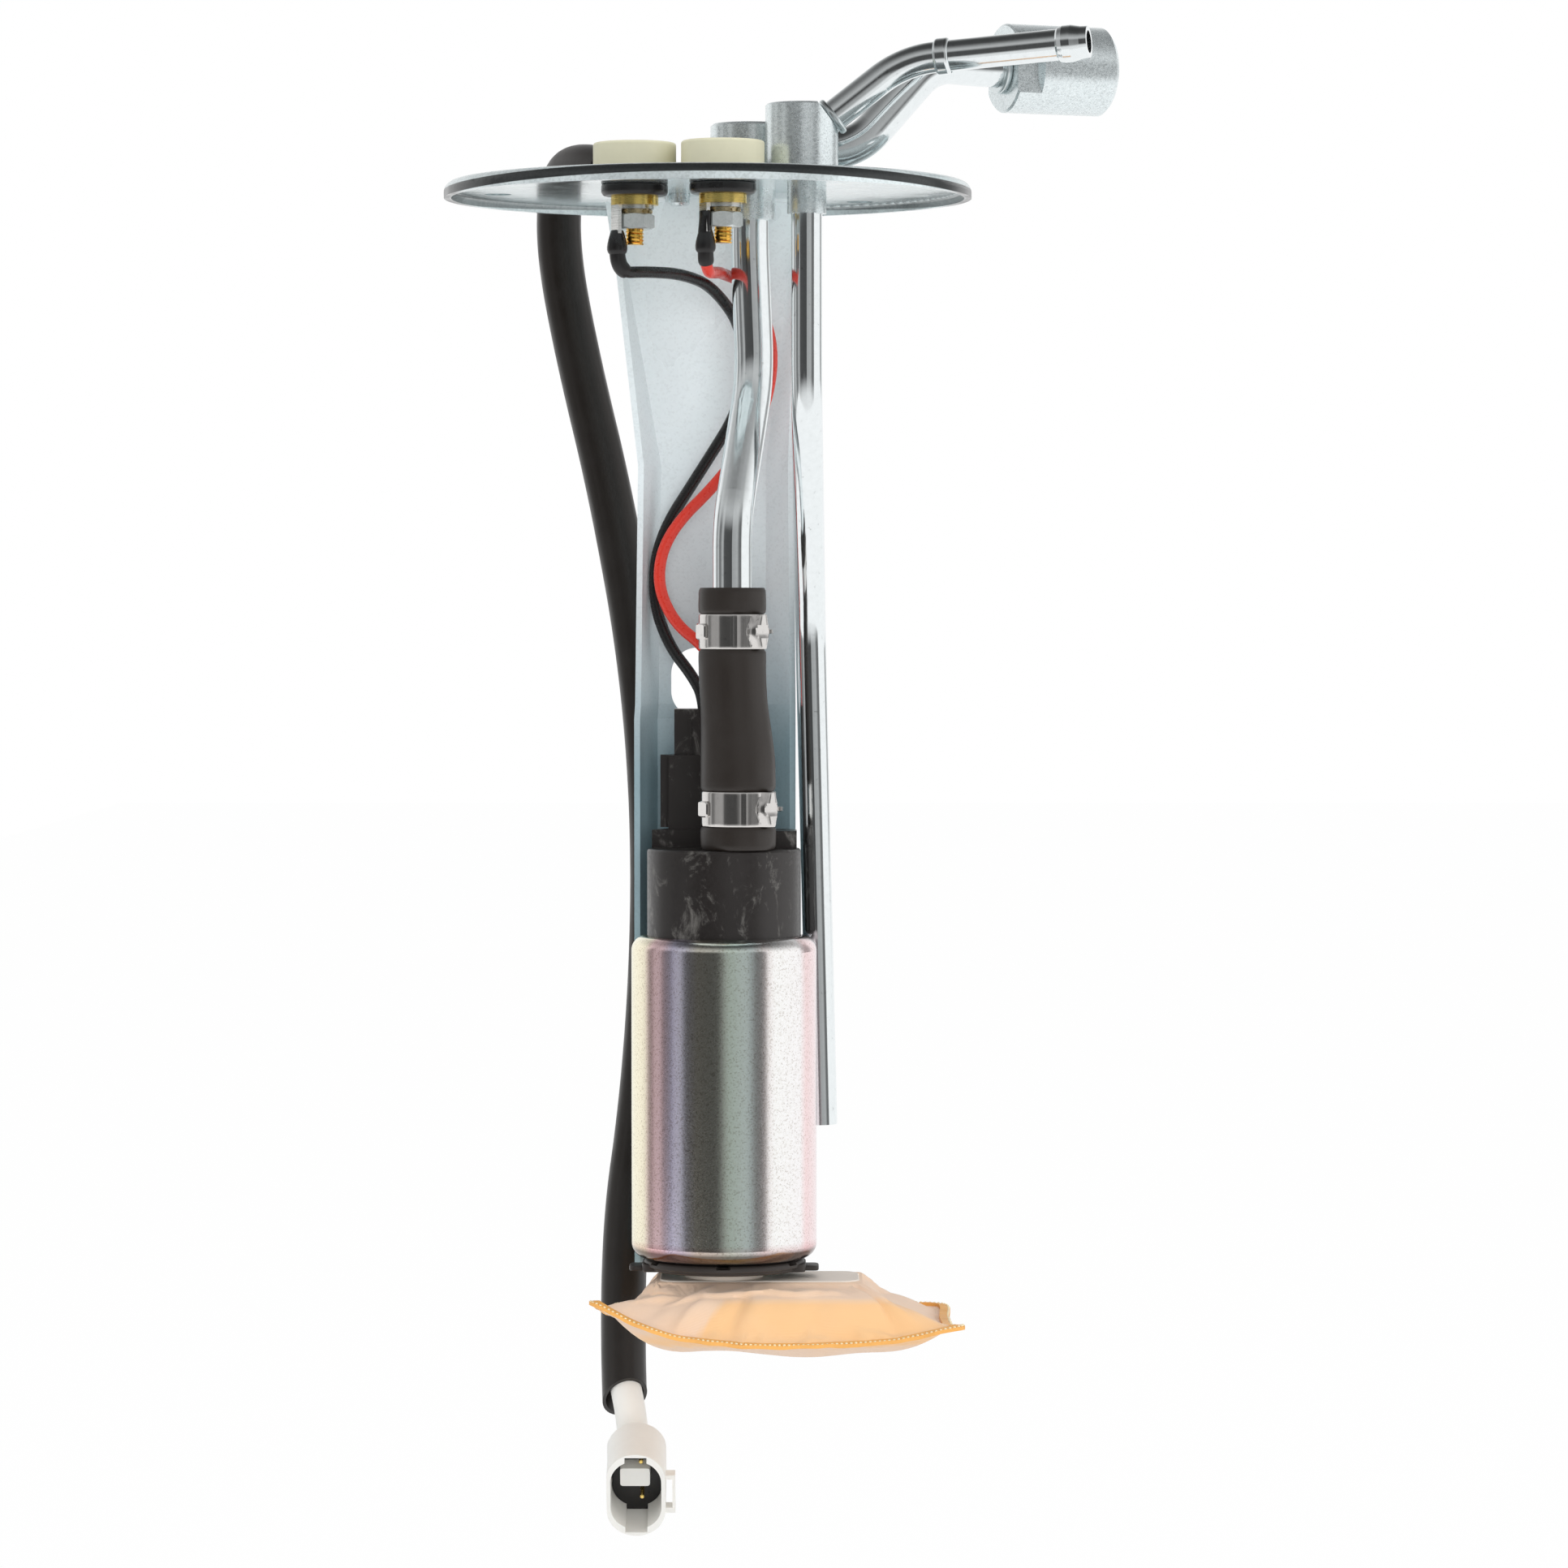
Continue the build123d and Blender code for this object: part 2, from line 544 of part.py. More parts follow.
BEARING_Z = (-146.5, -141.0)
COMMUTATOR_Z = (-158.0, -150.0)
CORE_Z = (-198.0, -165.0)
CASING_Z = (-215.0, -203.2)
BRUSH_Z = -154.0
BRUSH_W, BRUSH_L = 4.4, 6.2
BRUSH_TRAVEL = 0.8
BRUSH_BACK = COMMUTATOR_R + RUNNING + BRUSH_L
HEAD_SKIRT_R = CAN_BORE - 0.1
HEAD_LOW = -158.5
VALVE_SEAT_Z = -131.0
VALVE_BORE_R = 2.9
RELIEF_X, RELIEF_Y, RELIEF_BALL_R = 14.6, 2.0, 1.5
RELIEF_SEAT_Z = -140.0


def pump_head():
    """The moulded outlet head: brush holders inside, outlet spigot, terminal base, relief port."""
    head = rod(0, 0, CAN_TOP - CAN_WALL - 0.05, HEAD_TOP, HEAD_R)
    head = fillet(head.edges().group_by(Axis.Z)[-1], 0.7)
    head += rod(0, 0, HEAD_LOW, CAN_TOP - CAN_WALL - 0.05, CAN_R - CAN_BEND - 0.05)
    head = Pos(PUMP_X, PUMP_Y, 0) * head
    head -= rod(PUMP_X, PUMP_Y, HEAD_LOW - 1, -148.0, COMMUTATOR_R + 1.3)
    head -= rod(PUMP_X, PUMP_Y, -149.0, BEARING_Z[1], 3.5 + CLEAR)
    head -= rod(PUMP_X, PUMP_Y, -150.0, BEARING_Z[1] + 2.0, SHAFT_R + 0.5)
    slot = BRUSH_W / 2 + SLIDING
    for side in (-1, 1):
        x0, x1 = sorted((PUMP_X + side * 5.0, PUMP_X + side * 15.2))
        head -= slab((x0, PUMP_Y - slot, BRUSH_Z - slot), (x1, PUMP_Y + slot, BRUSH_Z + slot))
    # the terminal base and the relief valve block, both standing on the head
    head += slab((-11.6, 1.5, HEAD_TOP - 0.5), (5.6, 11.0, HEAD_TOP + 3.6)) & rod(
        PUMP_X, PUMP_Y, HEAD_TOP - 1, HEAD_TOP + 5, HEAD_R - 0.2
    )
    head += slab((12.2, -5.5, HEAD_TOP - 0.5), (18.2, 5.5, HEAD_TOP + 3.6)) & rod(
        PUMP_X, PUMP_Y, HEAD_TOP - 1, HEAD_TOP + 5, HEAD_R - 0.2
    )
    spigot = [(0, HEAD_TOP - 1), (OUTLET_R + 0.4, HEAD_TOP - 1), (OUTLET_R + 0.4, HEAD_TOP)]
    spigot += [(OUTLET_R, HEAD_TOP + 0.3)]
    for k in range(3):
        low = HEAD_TOP + 6.0 + 4.0 * k
        spigot += [(OUTLET_R - 0.35, low), (OUTLET_R, low + 0.2), (OUTLET_R, low + 1.2)]
    spigot += [(OUTLET_R - 0.4, HEAD_TOP + OUTLET_H), (0, HEAD_TOP + OUTLET_H)]
    head += turned(spigot, SPIGOT_X, OUTLET_Y)
    head -= rod(SPIGOT_X, OUTLET_Y, VALVE_SEAT_Z, HEAD_TOP + OUTLET_H + 1, VALVE_BORE_R)
    head -= rod(SPIGOT_X, OUTLET_Y, HEAD_LOW - 1, VALVE_SEAT_Z + 1, 1.7)
    head -= rod(RELIEF_X, RELIEF_Y, RELIEF_SEAT_Z, HEAD_TOP + 5, RELIEF_BALL_R + SLIDING)
    return head - rod(RELIEF_X, RELIEF_Y, HEAD_LOW - 1, RELIEF_SEAT_Z + 1, 0.9)


def pump_connector():
    """The black two-way plug on the head's terminals, stepped where its latch stands."""
    z0, z1, z2 = HEAD_TOP + 3.6, -115.8, -106.3
    body = slab((-8.2, 2.4, z0), (5.0, 10.4, z1)) + slab((-7.0, 3.2, z1), (5.0, 10.4, z2))
    body += slab((-9.9, 4.6, z0 + 0.4), (-8.2, 8.6, z1))
    body += slab((-3.9, 2.9, z1), (-3.5, 3.2, z2 - 2.0))
    for x, y, low in (BLACK_ROUTE[-1], RED_ROUTE[-1]):
        body -= rod(x, y, low - 0.5, z2 + 1, LEAD_OD / 2 + 0.15)
    return body


def brush(side):
    """One carbon brush, hollowed to the commutator."""
    near, far = PUMP_X + side * 4.0, PUMP_X + side * BRUSH_BACK
    x0, x1 = sorted((near, far))
    w = BRUSH_W / 2
    block = slab((x0, PUMP_Y - w, BRUSH_Z - w), (x1, PUMP_Y + w, BRUSH_Z + w))
    return block - rod(PUMP_X, PUMP_Y, BRUSH_Z - 5, BRUSH_Z + 5, COMMUTATOR_R + RUNNING)


def coil_spring(radius, wire, length, turns):
    """A compression spring about Z, with its first coil at z = 0."""
    helix = Helix(pitch=(length - 2 * wire) / turns, height=length - 2 * wire, radius=radius)
    section = Plane(origin=helix @ 0, z_dir=helix % 0) * Rectangle(2 * wire, 2 * wire)
    coil = sweep(section, path=helix, is_frenet=True)
    return Pos(0, 0, wire) * coil


def commutator():
    bars = rod(PUMP_X, PUMP_Y, *COMMUTATOR_Z, COMMUTATOR_R)
    bars += rod(PUMP_X, PUMP_Y, COMMUTATOR_Z[0] - 1.2, COMMUTATOR_Z[0], COMMUTATOR_R + 0.7)
    return bars - rod(PUMP_X, PUMP_Y, -170, -140, SHAFT_R)


def armature_core():
    """The laminated core: eight teeth with slots between them."""
    core = Circle(ARMATURE_R) - Circle(SHAFT_R)
    for i in range(8):
        core -= Rot(0, 0, 45 * i + 22.5) * Pos(9.0, 0) * Rectangle(9.8, 1.6)
    return Pos(PUMP_X, PUMP_Y, CORE_Z[0]) * extrude(core, CORE_Z[1] - CORE_Z[0])


def windings():
    high = pipe(PUMP_X, PUMP_Y, CORE_Z[1], CORE_Z[1] + 5.4, 12.4, SHAFT_R + 0.8)
    low = pipe(PUMP_X, PUMP_Y, CORE_Z[0] - 4.0, CORE_Z[0], 12.4, SHAFT_R + 0.8)
    high = chamfer(high.edges().group_by(Axis.Z)[-1], 1.2)
    low = chamfer(low.edges().group_by(Axis.Z)[0], 1.2)
    return Compound([high, low])


def sector(first, last):
    """A wedge wider than the pump, between two directions."""
    rim = [(40 * cos(radians(a)), 40 * sin(radians(a))) for a in (first, (first + last) / 2, last)]
    return make_face(Polyline([(0, 0), *rim], close=True))


def magnet(start):
    ring = Circle(CAN_BORE - 0.1) - Circle(ARMATURE_R + AIR_GAP)
    height = CORE_Z[1] - CORE_Z[0] + 3.0
    return Pos(PUMP_X, PUMP_Y, CORE_Z[0] - 1.5) * extrude(ring & sector(start, start + 116.0), height)


def magnet_spring():
    """The bent strip that wedges the two magnets apart."""
    ring = Circle(CAN_BORE - 0.1) - Circle(CAN_BORE - 0.9)
    return Pos(PUMP_X, PUMP_Y, CORE_Z[0]) * extrude(ring & sector(-118, -62), CORE_Z[1] - CORE_Z[0])


def bearing(z, outer):
    return pipe(PUMP_X, PUMP_Y, *z, outer, SHAFT_R + RUNNING)


def impeller():
    """A regenerative impeller: a flat disc with a row of vanes cut into its rim."""
    disc = Circle(IMPELLER_R) - Circle(SHAFT_R)
    disc += Pos(SHAFT_R, 0) * Rectangle(1.0, 2 * SHAFT_R) & Circle(SHAFT_R)
    vane = Rectangle(2.4, 1.5)
    for x, y in on_circle(BLADES, IMPELLER_R - 1.6):
        disc -= Pos(x, y) * Rot(0, 0, degrees(atan2(y, x))) * vane
    low = CASING_Z[0] + RUNNING + 0.1
    return Pos(PUMP_X, PUMP_Y, low) * extrude(disc, IMPELLER_T)


def rotor_shaft():
    shaft = rod(PUMP_X, PUMP_Y, CASING_Z[0] + 0.3, BEARING_Z[1] - 0.2, SHAFT_R)
    low, high = CASING_Z[0], CASING_Z[0] + 4.1
    return shaft - slab((PUMP_X + SHAFT_R - 0.5, PUMP_Y - 3, low), (PUMP_X + 3, PUMP_Y + 3, high))


def pump_casing():
    """The upper pump casing, which carries the lower bearing and walls in the impeller."""
    casing = rod(PUMP_X, PUMP_Y, *CASING_Z, CAN_BORE - 0.1)
    casing = chamfer(casing.edges().group_by(Axis.Z)[-1], 0.8)
    casing -= rod(PUMP_X, PUMP_Y, CASING_Z[0] - 1, CASING_Z[0] + 0.25 + IMPELLER_T, IMPELLER_R + 0.3)
    casing -= rod(PUMP_X, PUMP_Y, -220, -200, SHAFT_R + 0.4)
    casing -= rod(PUMP_X, PUMP_Y, -208.8, -200, 4.0 + CLEAR)
    return casing - rod(PUMP_X - 12.4, PUMP_Y, -220, -200, 1.6)


def inlet_cover():
    """The lower cover, with the feed channel and the suction spigot that carries the filter."""
    low = CAN_BOTTOM + CAN_WALL + 0.05
    cover = rod(PUMP_X, PUMP_Y, low + 2.0, CASING_Z[0], CAN_BORE - 0.1)
    cover += rod(PUMP_X, PUMP_Y, low, low + 2.0, CAN_R - CAN_BEND - 0.05)
    cover += rod(PUMP_X, PUMP_Y, CAN_BOTTOM - 0.1, low, CAN_BORE - 2.5)
    cover += rod(PUMP_X, PUMP_Y, FRAME_TOP - FRAME_T + 0.3, CAN_BOTTOM, INLET_R)
    cover -= rod(PUMP_X, PUMP_Y, FRAME_TOP - FRAME_T, CAN_BOTTOM + 2.2, INLET_R - 1.2)
    return cover - rod(PUMP_X + 3.6, PUMP_Y, CAN_BOTTOM, CASING_Z[0] + 1, 0.7)


# ---- valves --------------------------------------------------------------------------
VALVE_TRAVEL, RELIEF_TRAVEL = 1.4, 0.9
SPRING_LOW, SPRING_HIGH = VALVE_SEAT_Z + 3.2, VALVE_SEAT_Z + 10.0


def check_poppet():
    z = VALVE_SEAT_Z
    profile = [(0, z - 0.9), (1.0, z - 0.9), (1.6, z + 0.05), (2.5, z + 0.05), (2.5, z + 1.4)]
    profile += [(1.3, z + 3.1), (1.0, z + 3.1), (1.0, z + 5.6), (0, z + 5.6)]
    return turned(profile, SPIGOT_X, OUTLET_Y)


def valve_retainer():
    z = SPRING_HIGH
    return pipe(SPIGOT_X, OUTLET_Y, z, z + 1.6, VALVE_BORE_R - 0.02, 1.3)


def relief_plug():
    high = HEAD_TOP + 3.4
    return rod(RELIEF_X, RELIEF_Y, high - 2.2, high, RELIEF_BALL_R + SLIDING - 0.02)


# ---- hose and clamps -----------------------------------------------------------------
def hose_centre(z):
    """The hose leaves the tube straight and moves over to the spigot between the two."""
    begin, finish = HOSE_TOP - 23.0, HEAD_TOP + OUTLET_H + 0.5
    share = min(max((begin - z) / (begin - finish), 0.0), 1.0)
    share = share * share * (3 - 2 * share)
    return OUTLET_X + (SPIGOT_X - OUTLET_X) * share


def hose_ring(z, radius):
    return Pos(hose_centre(z), OUTLET_Y, z) * Circle(radius)


def fuel_hose():
    low, top, spigot_top = HEAD_TOP + 0.1, HOSE_TOP, HEAD_TOP + OUTLET_H + 0.5
    tube_r, spigot_r = SUPPLY_OD / 2 + CLEAR, OUTLET_R + CLEAR
    step = HOSE_TOP - 23.0
    outside = [
        (top, HOSE_R - 0.4),
        (top - 0.4, HOSE_R),
        (top - 14.0, HOSE_R),
        (step, HOSE_WAIST_R),
        ((step + spigot_top) / 2, HOSE_WAIST_R + 0.05),
        (spigot_top, (HOSE_WAIST_R + HOSE_LOW_R) / 2),
        (spigot_top - 6.0, HOSE_LOW_R),
        (low + 0.4, HOSE_LOW_R),
        (low, HOSE_LOW_R - 0.4),
    ]
    inside = [(low - 1, spigot_r), (spigot_top, spigot_r), (step, tube_r), (top + 1, tube_r)]
    hose = loft([hose_ring(z, r) for z, r in outside[::-1]], ruled=True)
    hose -= loft([hose_ring(z, r) for z, r in inside], ruled=True)
    hose -= rod(SPIGOT_X, OUTLET_Y, low - 1, low + 0.5, OUTLET_R + 0.5)
    for z, x, radius in (CLAMP_UPPER_Z, OUTLET_X, HOSE_R), (CLAMP_LOWER_Z, SPIGOT_X, HOSE_LOW_R):
        low, high = z - CLAMP_W / 2 - 0.1, z + CLAMP_W / 2 + 0.1
        hose -= pipe(x, OUTLET_Y, low, high, radius + 2, radius - CLAMP_SQUEEZE)
    return hose


def hose_clamp(x, z, inner, turn):
    """A stepless ear clamp: a flat band, a pinched ear and the end hook of the band."""
    band = Circle(inner + CLAMP_T) - Circle(inner)
    clamp = extrude(band, CLAMP_W)
    ear = Pos(inner + 0.9, 0, CLAMP_W / 2) * Box(2.6, 5.0, CLAMP_W)
    ear = fillet(ear.edges().filter_by(Axis.Z), 0.6)
    ear -= Pos(inner + 2.2, 0, CLAMP_W / 2) * Rot(0, 90, 0) * Cone(0.6, 1.5, 1.2)
    clamp += ear - Pos(0, 0, -1) * extrude(Circle(inner), CLAMP_W + 2)
    hook = Rot(0, 0, -120) * Pos(inner + 0.6, 0, CLAMP_W / 2) * Box(1.6, 1.4, 3.0)
    clamp += hook - Pos(0, 0, -1) * extrude(Circle(inner), CLAMP_W + 2)
    return Pos(x, OUTLET_Y, z - CLAMP_W / 2) * Rot(0, 0, turn) * clamp


# ---- filter --------------------------------------------------------------------------
def rubber_cushion():
    """The rubber pad between the pump and the forked foot, with an ear at each side."""
    low, high = FOOT_Z + SHEET + 0.06, SEAT_Z + GAP - 0.15
    pad = rod(PUMP_X, PUMP_Y, low, high, CUSHION_R)
    pad = chamfer(pad.edges().group_by(Axis.Z)[0], 0.5)
    for side in (-1, 1):
        x0, x1 = sorted((PUMP_X + side * (FOOT_W / 2 + 0.3), PUMP_X + side * CUSHION_R))
        pad += slab((x0, PUMP_Y - 6.0, low - 0.9), (x1, PUMP_Y + 6.0, low + 0.8))
        x0, x1 = sorted((PUMP_X + side * (CUSHION_R - 2.0), PUMP_X + side * CUSHION_EAR))
        pad += slab((x0, PUMP_Y - 3.5, low - 0.9), (x1, PUMP_Y + 3.5, low + 0.1))
    for i in range(6):
        x, y = PUMP_X + CUSHION_R * cos(radians(60 * i + 30)), PUMP_Y + CUSHION_R * sin(radians(60 * i + 30))
        pad -= Pos(x, y, high) * Rot(0, 0, 60 * i + 30) * Box(2.4, 4.0, 1.2)
    return pad - rod(PUMP_X, PUMP_Y, low - 2, high + 1, FRAME_NECK_R + 0.2)


def filter_frame():
    """The filter's moulded plate, with the neck that is pushed on to the pump's inlet."""
    low, high = FRAME_TOP - FRAME_T, FRAME_TOP - 0.05
    frame = Pos(FRAME_X, PUMP_Y, low) * extrude(RectangleRounded(FRAME_L, FRAME_W, 4.0), high - low)
    frame = chamfer(frame.edges().group_by(Axis.Z)[-1], 0.5)
    frame += rod(PUMP_X, PUMP_Y, high - 0.5, SEAT_Z - 0.3, FRAME_NECK_R)
    return frame - rod(PUMP_X, PUMP_Y, low - 1, SEAT_Z, INLET_R + CLEAR)


def filter_sock():
    """The soft filter bag: a closed pillow round the edges of its plate, widest at its seam."""
    def section(z, x, y, length, width, corner):
        return Pos(x, y, z) * RectangleRounded(length, width, corner)

    mouth = section(SOCK_TOP, FRAME_X, PUMP_Y, FRAME_L + 2.2, FRAME_W + 2.2, 5.0)
    shoulder = section(SOCK_TOP - SHOULDER_DROP, FRAME_X + 0.8, SOCK_Y, SHOULDER_L, SHOULDER_W, 5.0)
    seam = section(SEAM_Z, SOCK_X, SOCK_Y, SOCK_L, SOCK_W, 5.0)
    low = section(SEAM_Z - SOCK_DOWN, SOCK_X, SOCK_Y, SOCK_L - 16, SOCK_W - 14, 5.0)
    bag = loft([mouth, shoulder], ruled=True) + loft([shoulder, seam], ruled=True)
    bag += loft([seam, low], ruled=True)
    pocket = RectangleRounded(FRAME_L + 0.12, FRAME_W + 0.12, 4.06)
    return bag - Pos(FRAME_X, PUMP_Y, FRAME_TOP - FRAME_T - 0.06) * extrude(pocket, 5)


# ---- harness -------------------------------------------------------------------------
def plug_plane(depth):
    """A plane across the plug, depth mm behind its mouth; its y axis is the plug's long axis."""
    tilt = radians(PLUG_TILT)
    out = Vector(0, -cos(tilt), -sin(tilt))
    origin = Vector(*PLUG_MOUTH) - out * depth
    return Plane(origin=tuple(origin), x_dir=(1, 0, 0), z_dir=tuple(out))


def plug_oval(width, height):
    return RectangleRounded(width, height, width / 2 - 0.1)


def plug_mouth(slack):
    """The opening of the plug: an oval with a keyway at its top and its bottom."""
    width, height = PLUG_W - 2 * PLUG_WALL - 2 * slack, PLUG_H - 3.2 - 2 * slack
    keyways = Rectangle(KEYWAY - 2 * slack, PLUG_H - 2 * PLUG_WALL - 2 * slack)
    return plug_oval(width, height) + keyways


NECK_AXIS = Vector(*NECK_ROUTE[0]) - Vector(*NECK_ROUTE[1])
KEYWAY = 4.6
PIN_PLACES = ((1.0, 5.0), (1.15, -3.4))
PIN_R, PIN_TIP = 0.45, 5.0  # radius, and how far the tips stay behind the mouth


def connector_housing():
    """The white two-way plug housing: an oval shroud, a shoulder and a latch loop."""
    shroud = plug_plane(PLUG_LEN) * extrude(plug_oval(PLUG_W, PLUG_H), PLUG_LEN)
    shroud -= plug_plane(PLUG_DEPTH) * extrude(plug_mouth(0.0), PLUG_DEPTH + 1)
    block = plug_plane(PLUG_DEPTH) * extrude(Pos(-0.3, 1.0) * RectangleRounded(6.2, 4.2, 0.6), 5.2)
    back = plug_plane(PLUG_LEN) * plug_oval(PLUG_W, PLUG_H)
    waist = Plane(origin=(-15.8, 22.9, -262.4), x_dir=(1, 0, 0), z_dir=(0, -0.78, -0.62))
    collar = Vector(*NECK_ROUTE[0]) + NECK_AXIS.normalized() * 0.1
    neck = Plane(origin=tuple(collar), x_dir=(1, 0, 0), z_dir=tuple(NECK_AXIS))
    shroud += loft([back, waist * plug_oval(11.4, 13.0), neck * plug_oval(8.2, 8.4)])
    latch = plug_plane(6.2) * extrude(Pos(PLUG_W / 2 + 0.7, -2.1) * Rectangle(2.6, 9.0), 2.2)
    latch -= plug_plane(7.0) * extrude(Pos(PLUG_W / 2 + 0.7, -2.0) * Rectangle(1.4, 6.8), 4.0)
    shroud += latch - plug_plane(9.0) * extrude(plug_oval(PLUG_W - 0.2, PLUG_H - 0.2), 8.0)
    shroud += block
    for x, y in PIN_PLACES:
        shroud -= plug_plane(PLUG_LEN + 1) * extrude(Pos(x, y) * Circle(PIN_R + CLEAR), 6)
    return shroud


def connector_seal():
    seal = plug_mouth(0.1) - Pos(-0.3, 1.0) * RectangleRounded(6.4, 4.4, 0.6)
    for x, y in PIN_PLACES:
        seal -= Pos(x, y) * Circle(PIN_R + 0.1)
    return plug_plane(PLUG_DEPTH) * extrude(seal, 1.6)


def connector_pins():
    pins = []
    for x, y in PIN_PLACES:
        pin = plug_plane(PLUG_LEN) * extrude(Pos(x, y) * Circle(PIN_R), PLUG_LEN - PIN_TIP)
        pins.append(chamfer(pin.edges().sort_by(Axis.Y)[0], 0.15))
    return Compound(pins)


def harness_neck():
    """The white tube that carries the wires from the plug up into the sleeve."""
    return along(route(NECK_ROUTE), NECK_OD / 2, NECK_OD / 2 - 0.8)


def harness_sleeve():
    """The loose sleeve over the wires, its lower end cut on a slant towards the plug."""
    sleeve = report("harness_sleeve", SLEEVE_ROUTE, SLEEVE_OD / 2, SLEEVE_OD / 2 - SLEEVE_WALL)
    cut = Plane(origin=SLEEVE_CUT, z_dir=(0.2, -0.66, -0.7))
    return sleeve - cut * extrude(Rectangle(40, 40), 15)


def save(name, shape):
    export_step(shape, f"parts/{name}.step")


def main():
    os.makedirs("parts", exist_ok=True)
    (ax, ay), (bx, by) = TERMINALS
    save("flange_plate", flange_plate())
    save("flange_rivet", flange_rivet())
    save("supply_boss", supply_boss())
    save("supply_pipe", supply_pipe())
    save("union_fitting", union_fitting())
    save("supply_tube", supply_tube())
    save("return_boss", return_boss())
    save("return_nipple", return_nipple())
    save("braze_fillets", braze_fillets())
    save("return_tube", return_tube())

    save("terminal_caps", Compound([terminal_cap(x, y) for x, y in TERMINALS]))
    save("terminal_studs", Compound([terminal_stud(x, y) for x, y in TERMINALS]))
    save("terminal_bushes", Compound([terminal_bush(x, y) for x, y in TERMINALS]))
    seals = [pipe(x, y, -SEAL_T, -0.05, SEAL_R, STUD_R + 1.5) for x, y in TERMINALS]
    save("terminal_seals", Compound(seals))
    collars = [pipe(x, y, LUG_Z + 0.02, -SEAL_T - 0.02, COLLAR_R, STUD_R + 0.1) for x, y in TERMINALS]
    save("terminal_collars", Compound(collars))
    washers = [pipe(x, y, NUT_Z + 0.02, LUG_Z - LUG_T - 0.02, WASHER_R, STUD_R + 0.1) for x, y in TERMINALS]
    save("terminal_washers", Compound(washers))
    save("terminal_nuts", Compound([hex_nut(x, y, NUT_Z) for x, y in TERMINALS]))

    save("ring_lug_ground", ring_lug(ax, ay))
    save("ring_lug_supply", ring_lug(bx, by))
    boots = [lug_boot(ax, ay, BLACK_ROUTE, False), lug_boot(bx, by, RED_ROUTE, True)]
    save("lug_boots", Compound(boots))
    save("lead_black", report("lead_black", BLACK_ROUTE, LEAD_OD / 2))
    save("lead_red", report("lead_red", RED_ROUTE, LEAD_OD / 2))

    save("hanger_bracket", hanger_bracket())
    save("fuel_hose", fuel_hose())
    sunk = CLAMP_SQUEEZE - 0.06
    save("hose_clamp_upper", hose_clamp(OUTLET_X, CLAMP_UPPER_Z, HOSE_R - sunk, -40))
    save("hose_clamp_lower", hose_clamp(SPIGOT_X, CLAMP_LOWER_Z, HOSE_LOW_R - sunk, -40))

    save("pump_can", pump_can())
    save("pump_head", pump_head())
    save("pump_connector", pump_connector())
    save("brush_left", brush(-1))
    save("brush_right", brush(1))
    save("commutator", commutator())
    save("armature_core", armature_core())
    save("armature_windings", windings())
    save("rotor_shaft", rotor_shaft())
    save("bearing_upper", bearing(BEARING_Z, 3.5))
    save("bearing_lower", bearing((-208.7, -204.0), 4.0))
    save("magnets", Compound([magnet(-58), magnet(122)]))
    save("magnet_spring", magnet_spring())
    save("impeller", impeller())
    save("pump_casing", pump_casing())
    save("inlet_cover", inlet_cover())

    save("check_poppet", check_poppet())
    spring = coil_spring(1.75, 0.25, SPRING_HIGH - SPRING_LOW - 0.1, 5)
    save("check_spring", Pos(SPIGOT_X, OUTLET_Y, SPRING_LOW + 0.05) * spring)
    save("valve_retainer", valve_retainer())
    save("relief_ball", Pos(RELIEF_X, RELIEF_Y, RELIEF_SEAT_Z + 1.32) * Sphere(RELIEF_BALL_R))
    low = RELIEF_SEAT_Z + 1.32 + RELIEF_BALL_R + 0.05
    high = HEAD_TOP + 3.4 - 2.2 - 0.05
    save("relief_spring", Pos(RELIEF_X, RELIEF_Y, low) * coil_spring(1.05, 0.2, high - low, 4))
    save("relief_plug", relief_plug())

    save("rubber_cushion", rubber_cushion())
    save("filter_frame", filter_frame())
    save("filter_sock", filter_sock())

    save("harness_sleeve", harness_sleeve())
    save("connector_housing", connector_housing())
    save("connector_seal", connector_seal())
    save("connector_pins", connector_pins())
    save("harness_neck", harness_neck())
    tails = [report("harness_tails", points, WIRE_OD / 2) for points in TAIL_ROUTES]
    save("harness_tails", Compound(tails))


main()
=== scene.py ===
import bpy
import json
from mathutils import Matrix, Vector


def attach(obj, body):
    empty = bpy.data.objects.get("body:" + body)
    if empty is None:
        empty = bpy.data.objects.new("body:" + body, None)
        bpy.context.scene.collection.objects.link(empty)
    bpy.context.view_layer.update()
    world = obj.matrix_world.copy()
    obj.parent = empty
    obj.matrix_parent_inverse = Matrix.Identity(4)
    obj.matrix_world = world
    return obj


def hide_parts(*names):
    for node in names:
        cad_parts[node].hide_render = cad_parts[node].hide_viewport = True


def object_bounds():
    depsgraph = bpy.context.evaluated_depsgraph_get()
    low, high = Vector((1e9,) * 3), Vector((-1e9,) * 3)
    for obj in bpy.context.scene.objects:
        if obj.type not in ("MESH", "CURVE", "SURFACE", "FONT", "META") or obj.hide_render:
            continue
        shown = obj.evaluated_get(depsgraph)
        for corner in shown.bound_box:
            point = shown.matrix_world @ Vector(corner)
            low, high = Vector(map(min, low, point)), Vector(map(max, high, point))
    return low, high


bl_info = {
    "name": "Fuel Pump Module",
    "version": (1, 0, 0),
    "blender": (4, 5, 0),
    "location": "3D View > Sidebar > Fuel Pump",
    "description": "Dresses and details an in-tank fuel pump module round its packed frame",
    "category": "Object",
}

import json
from math import atan2, cos, degrees, pi, radians, sin

import bmesh
import bpy
from mathutils import Matrix, Vector, noise

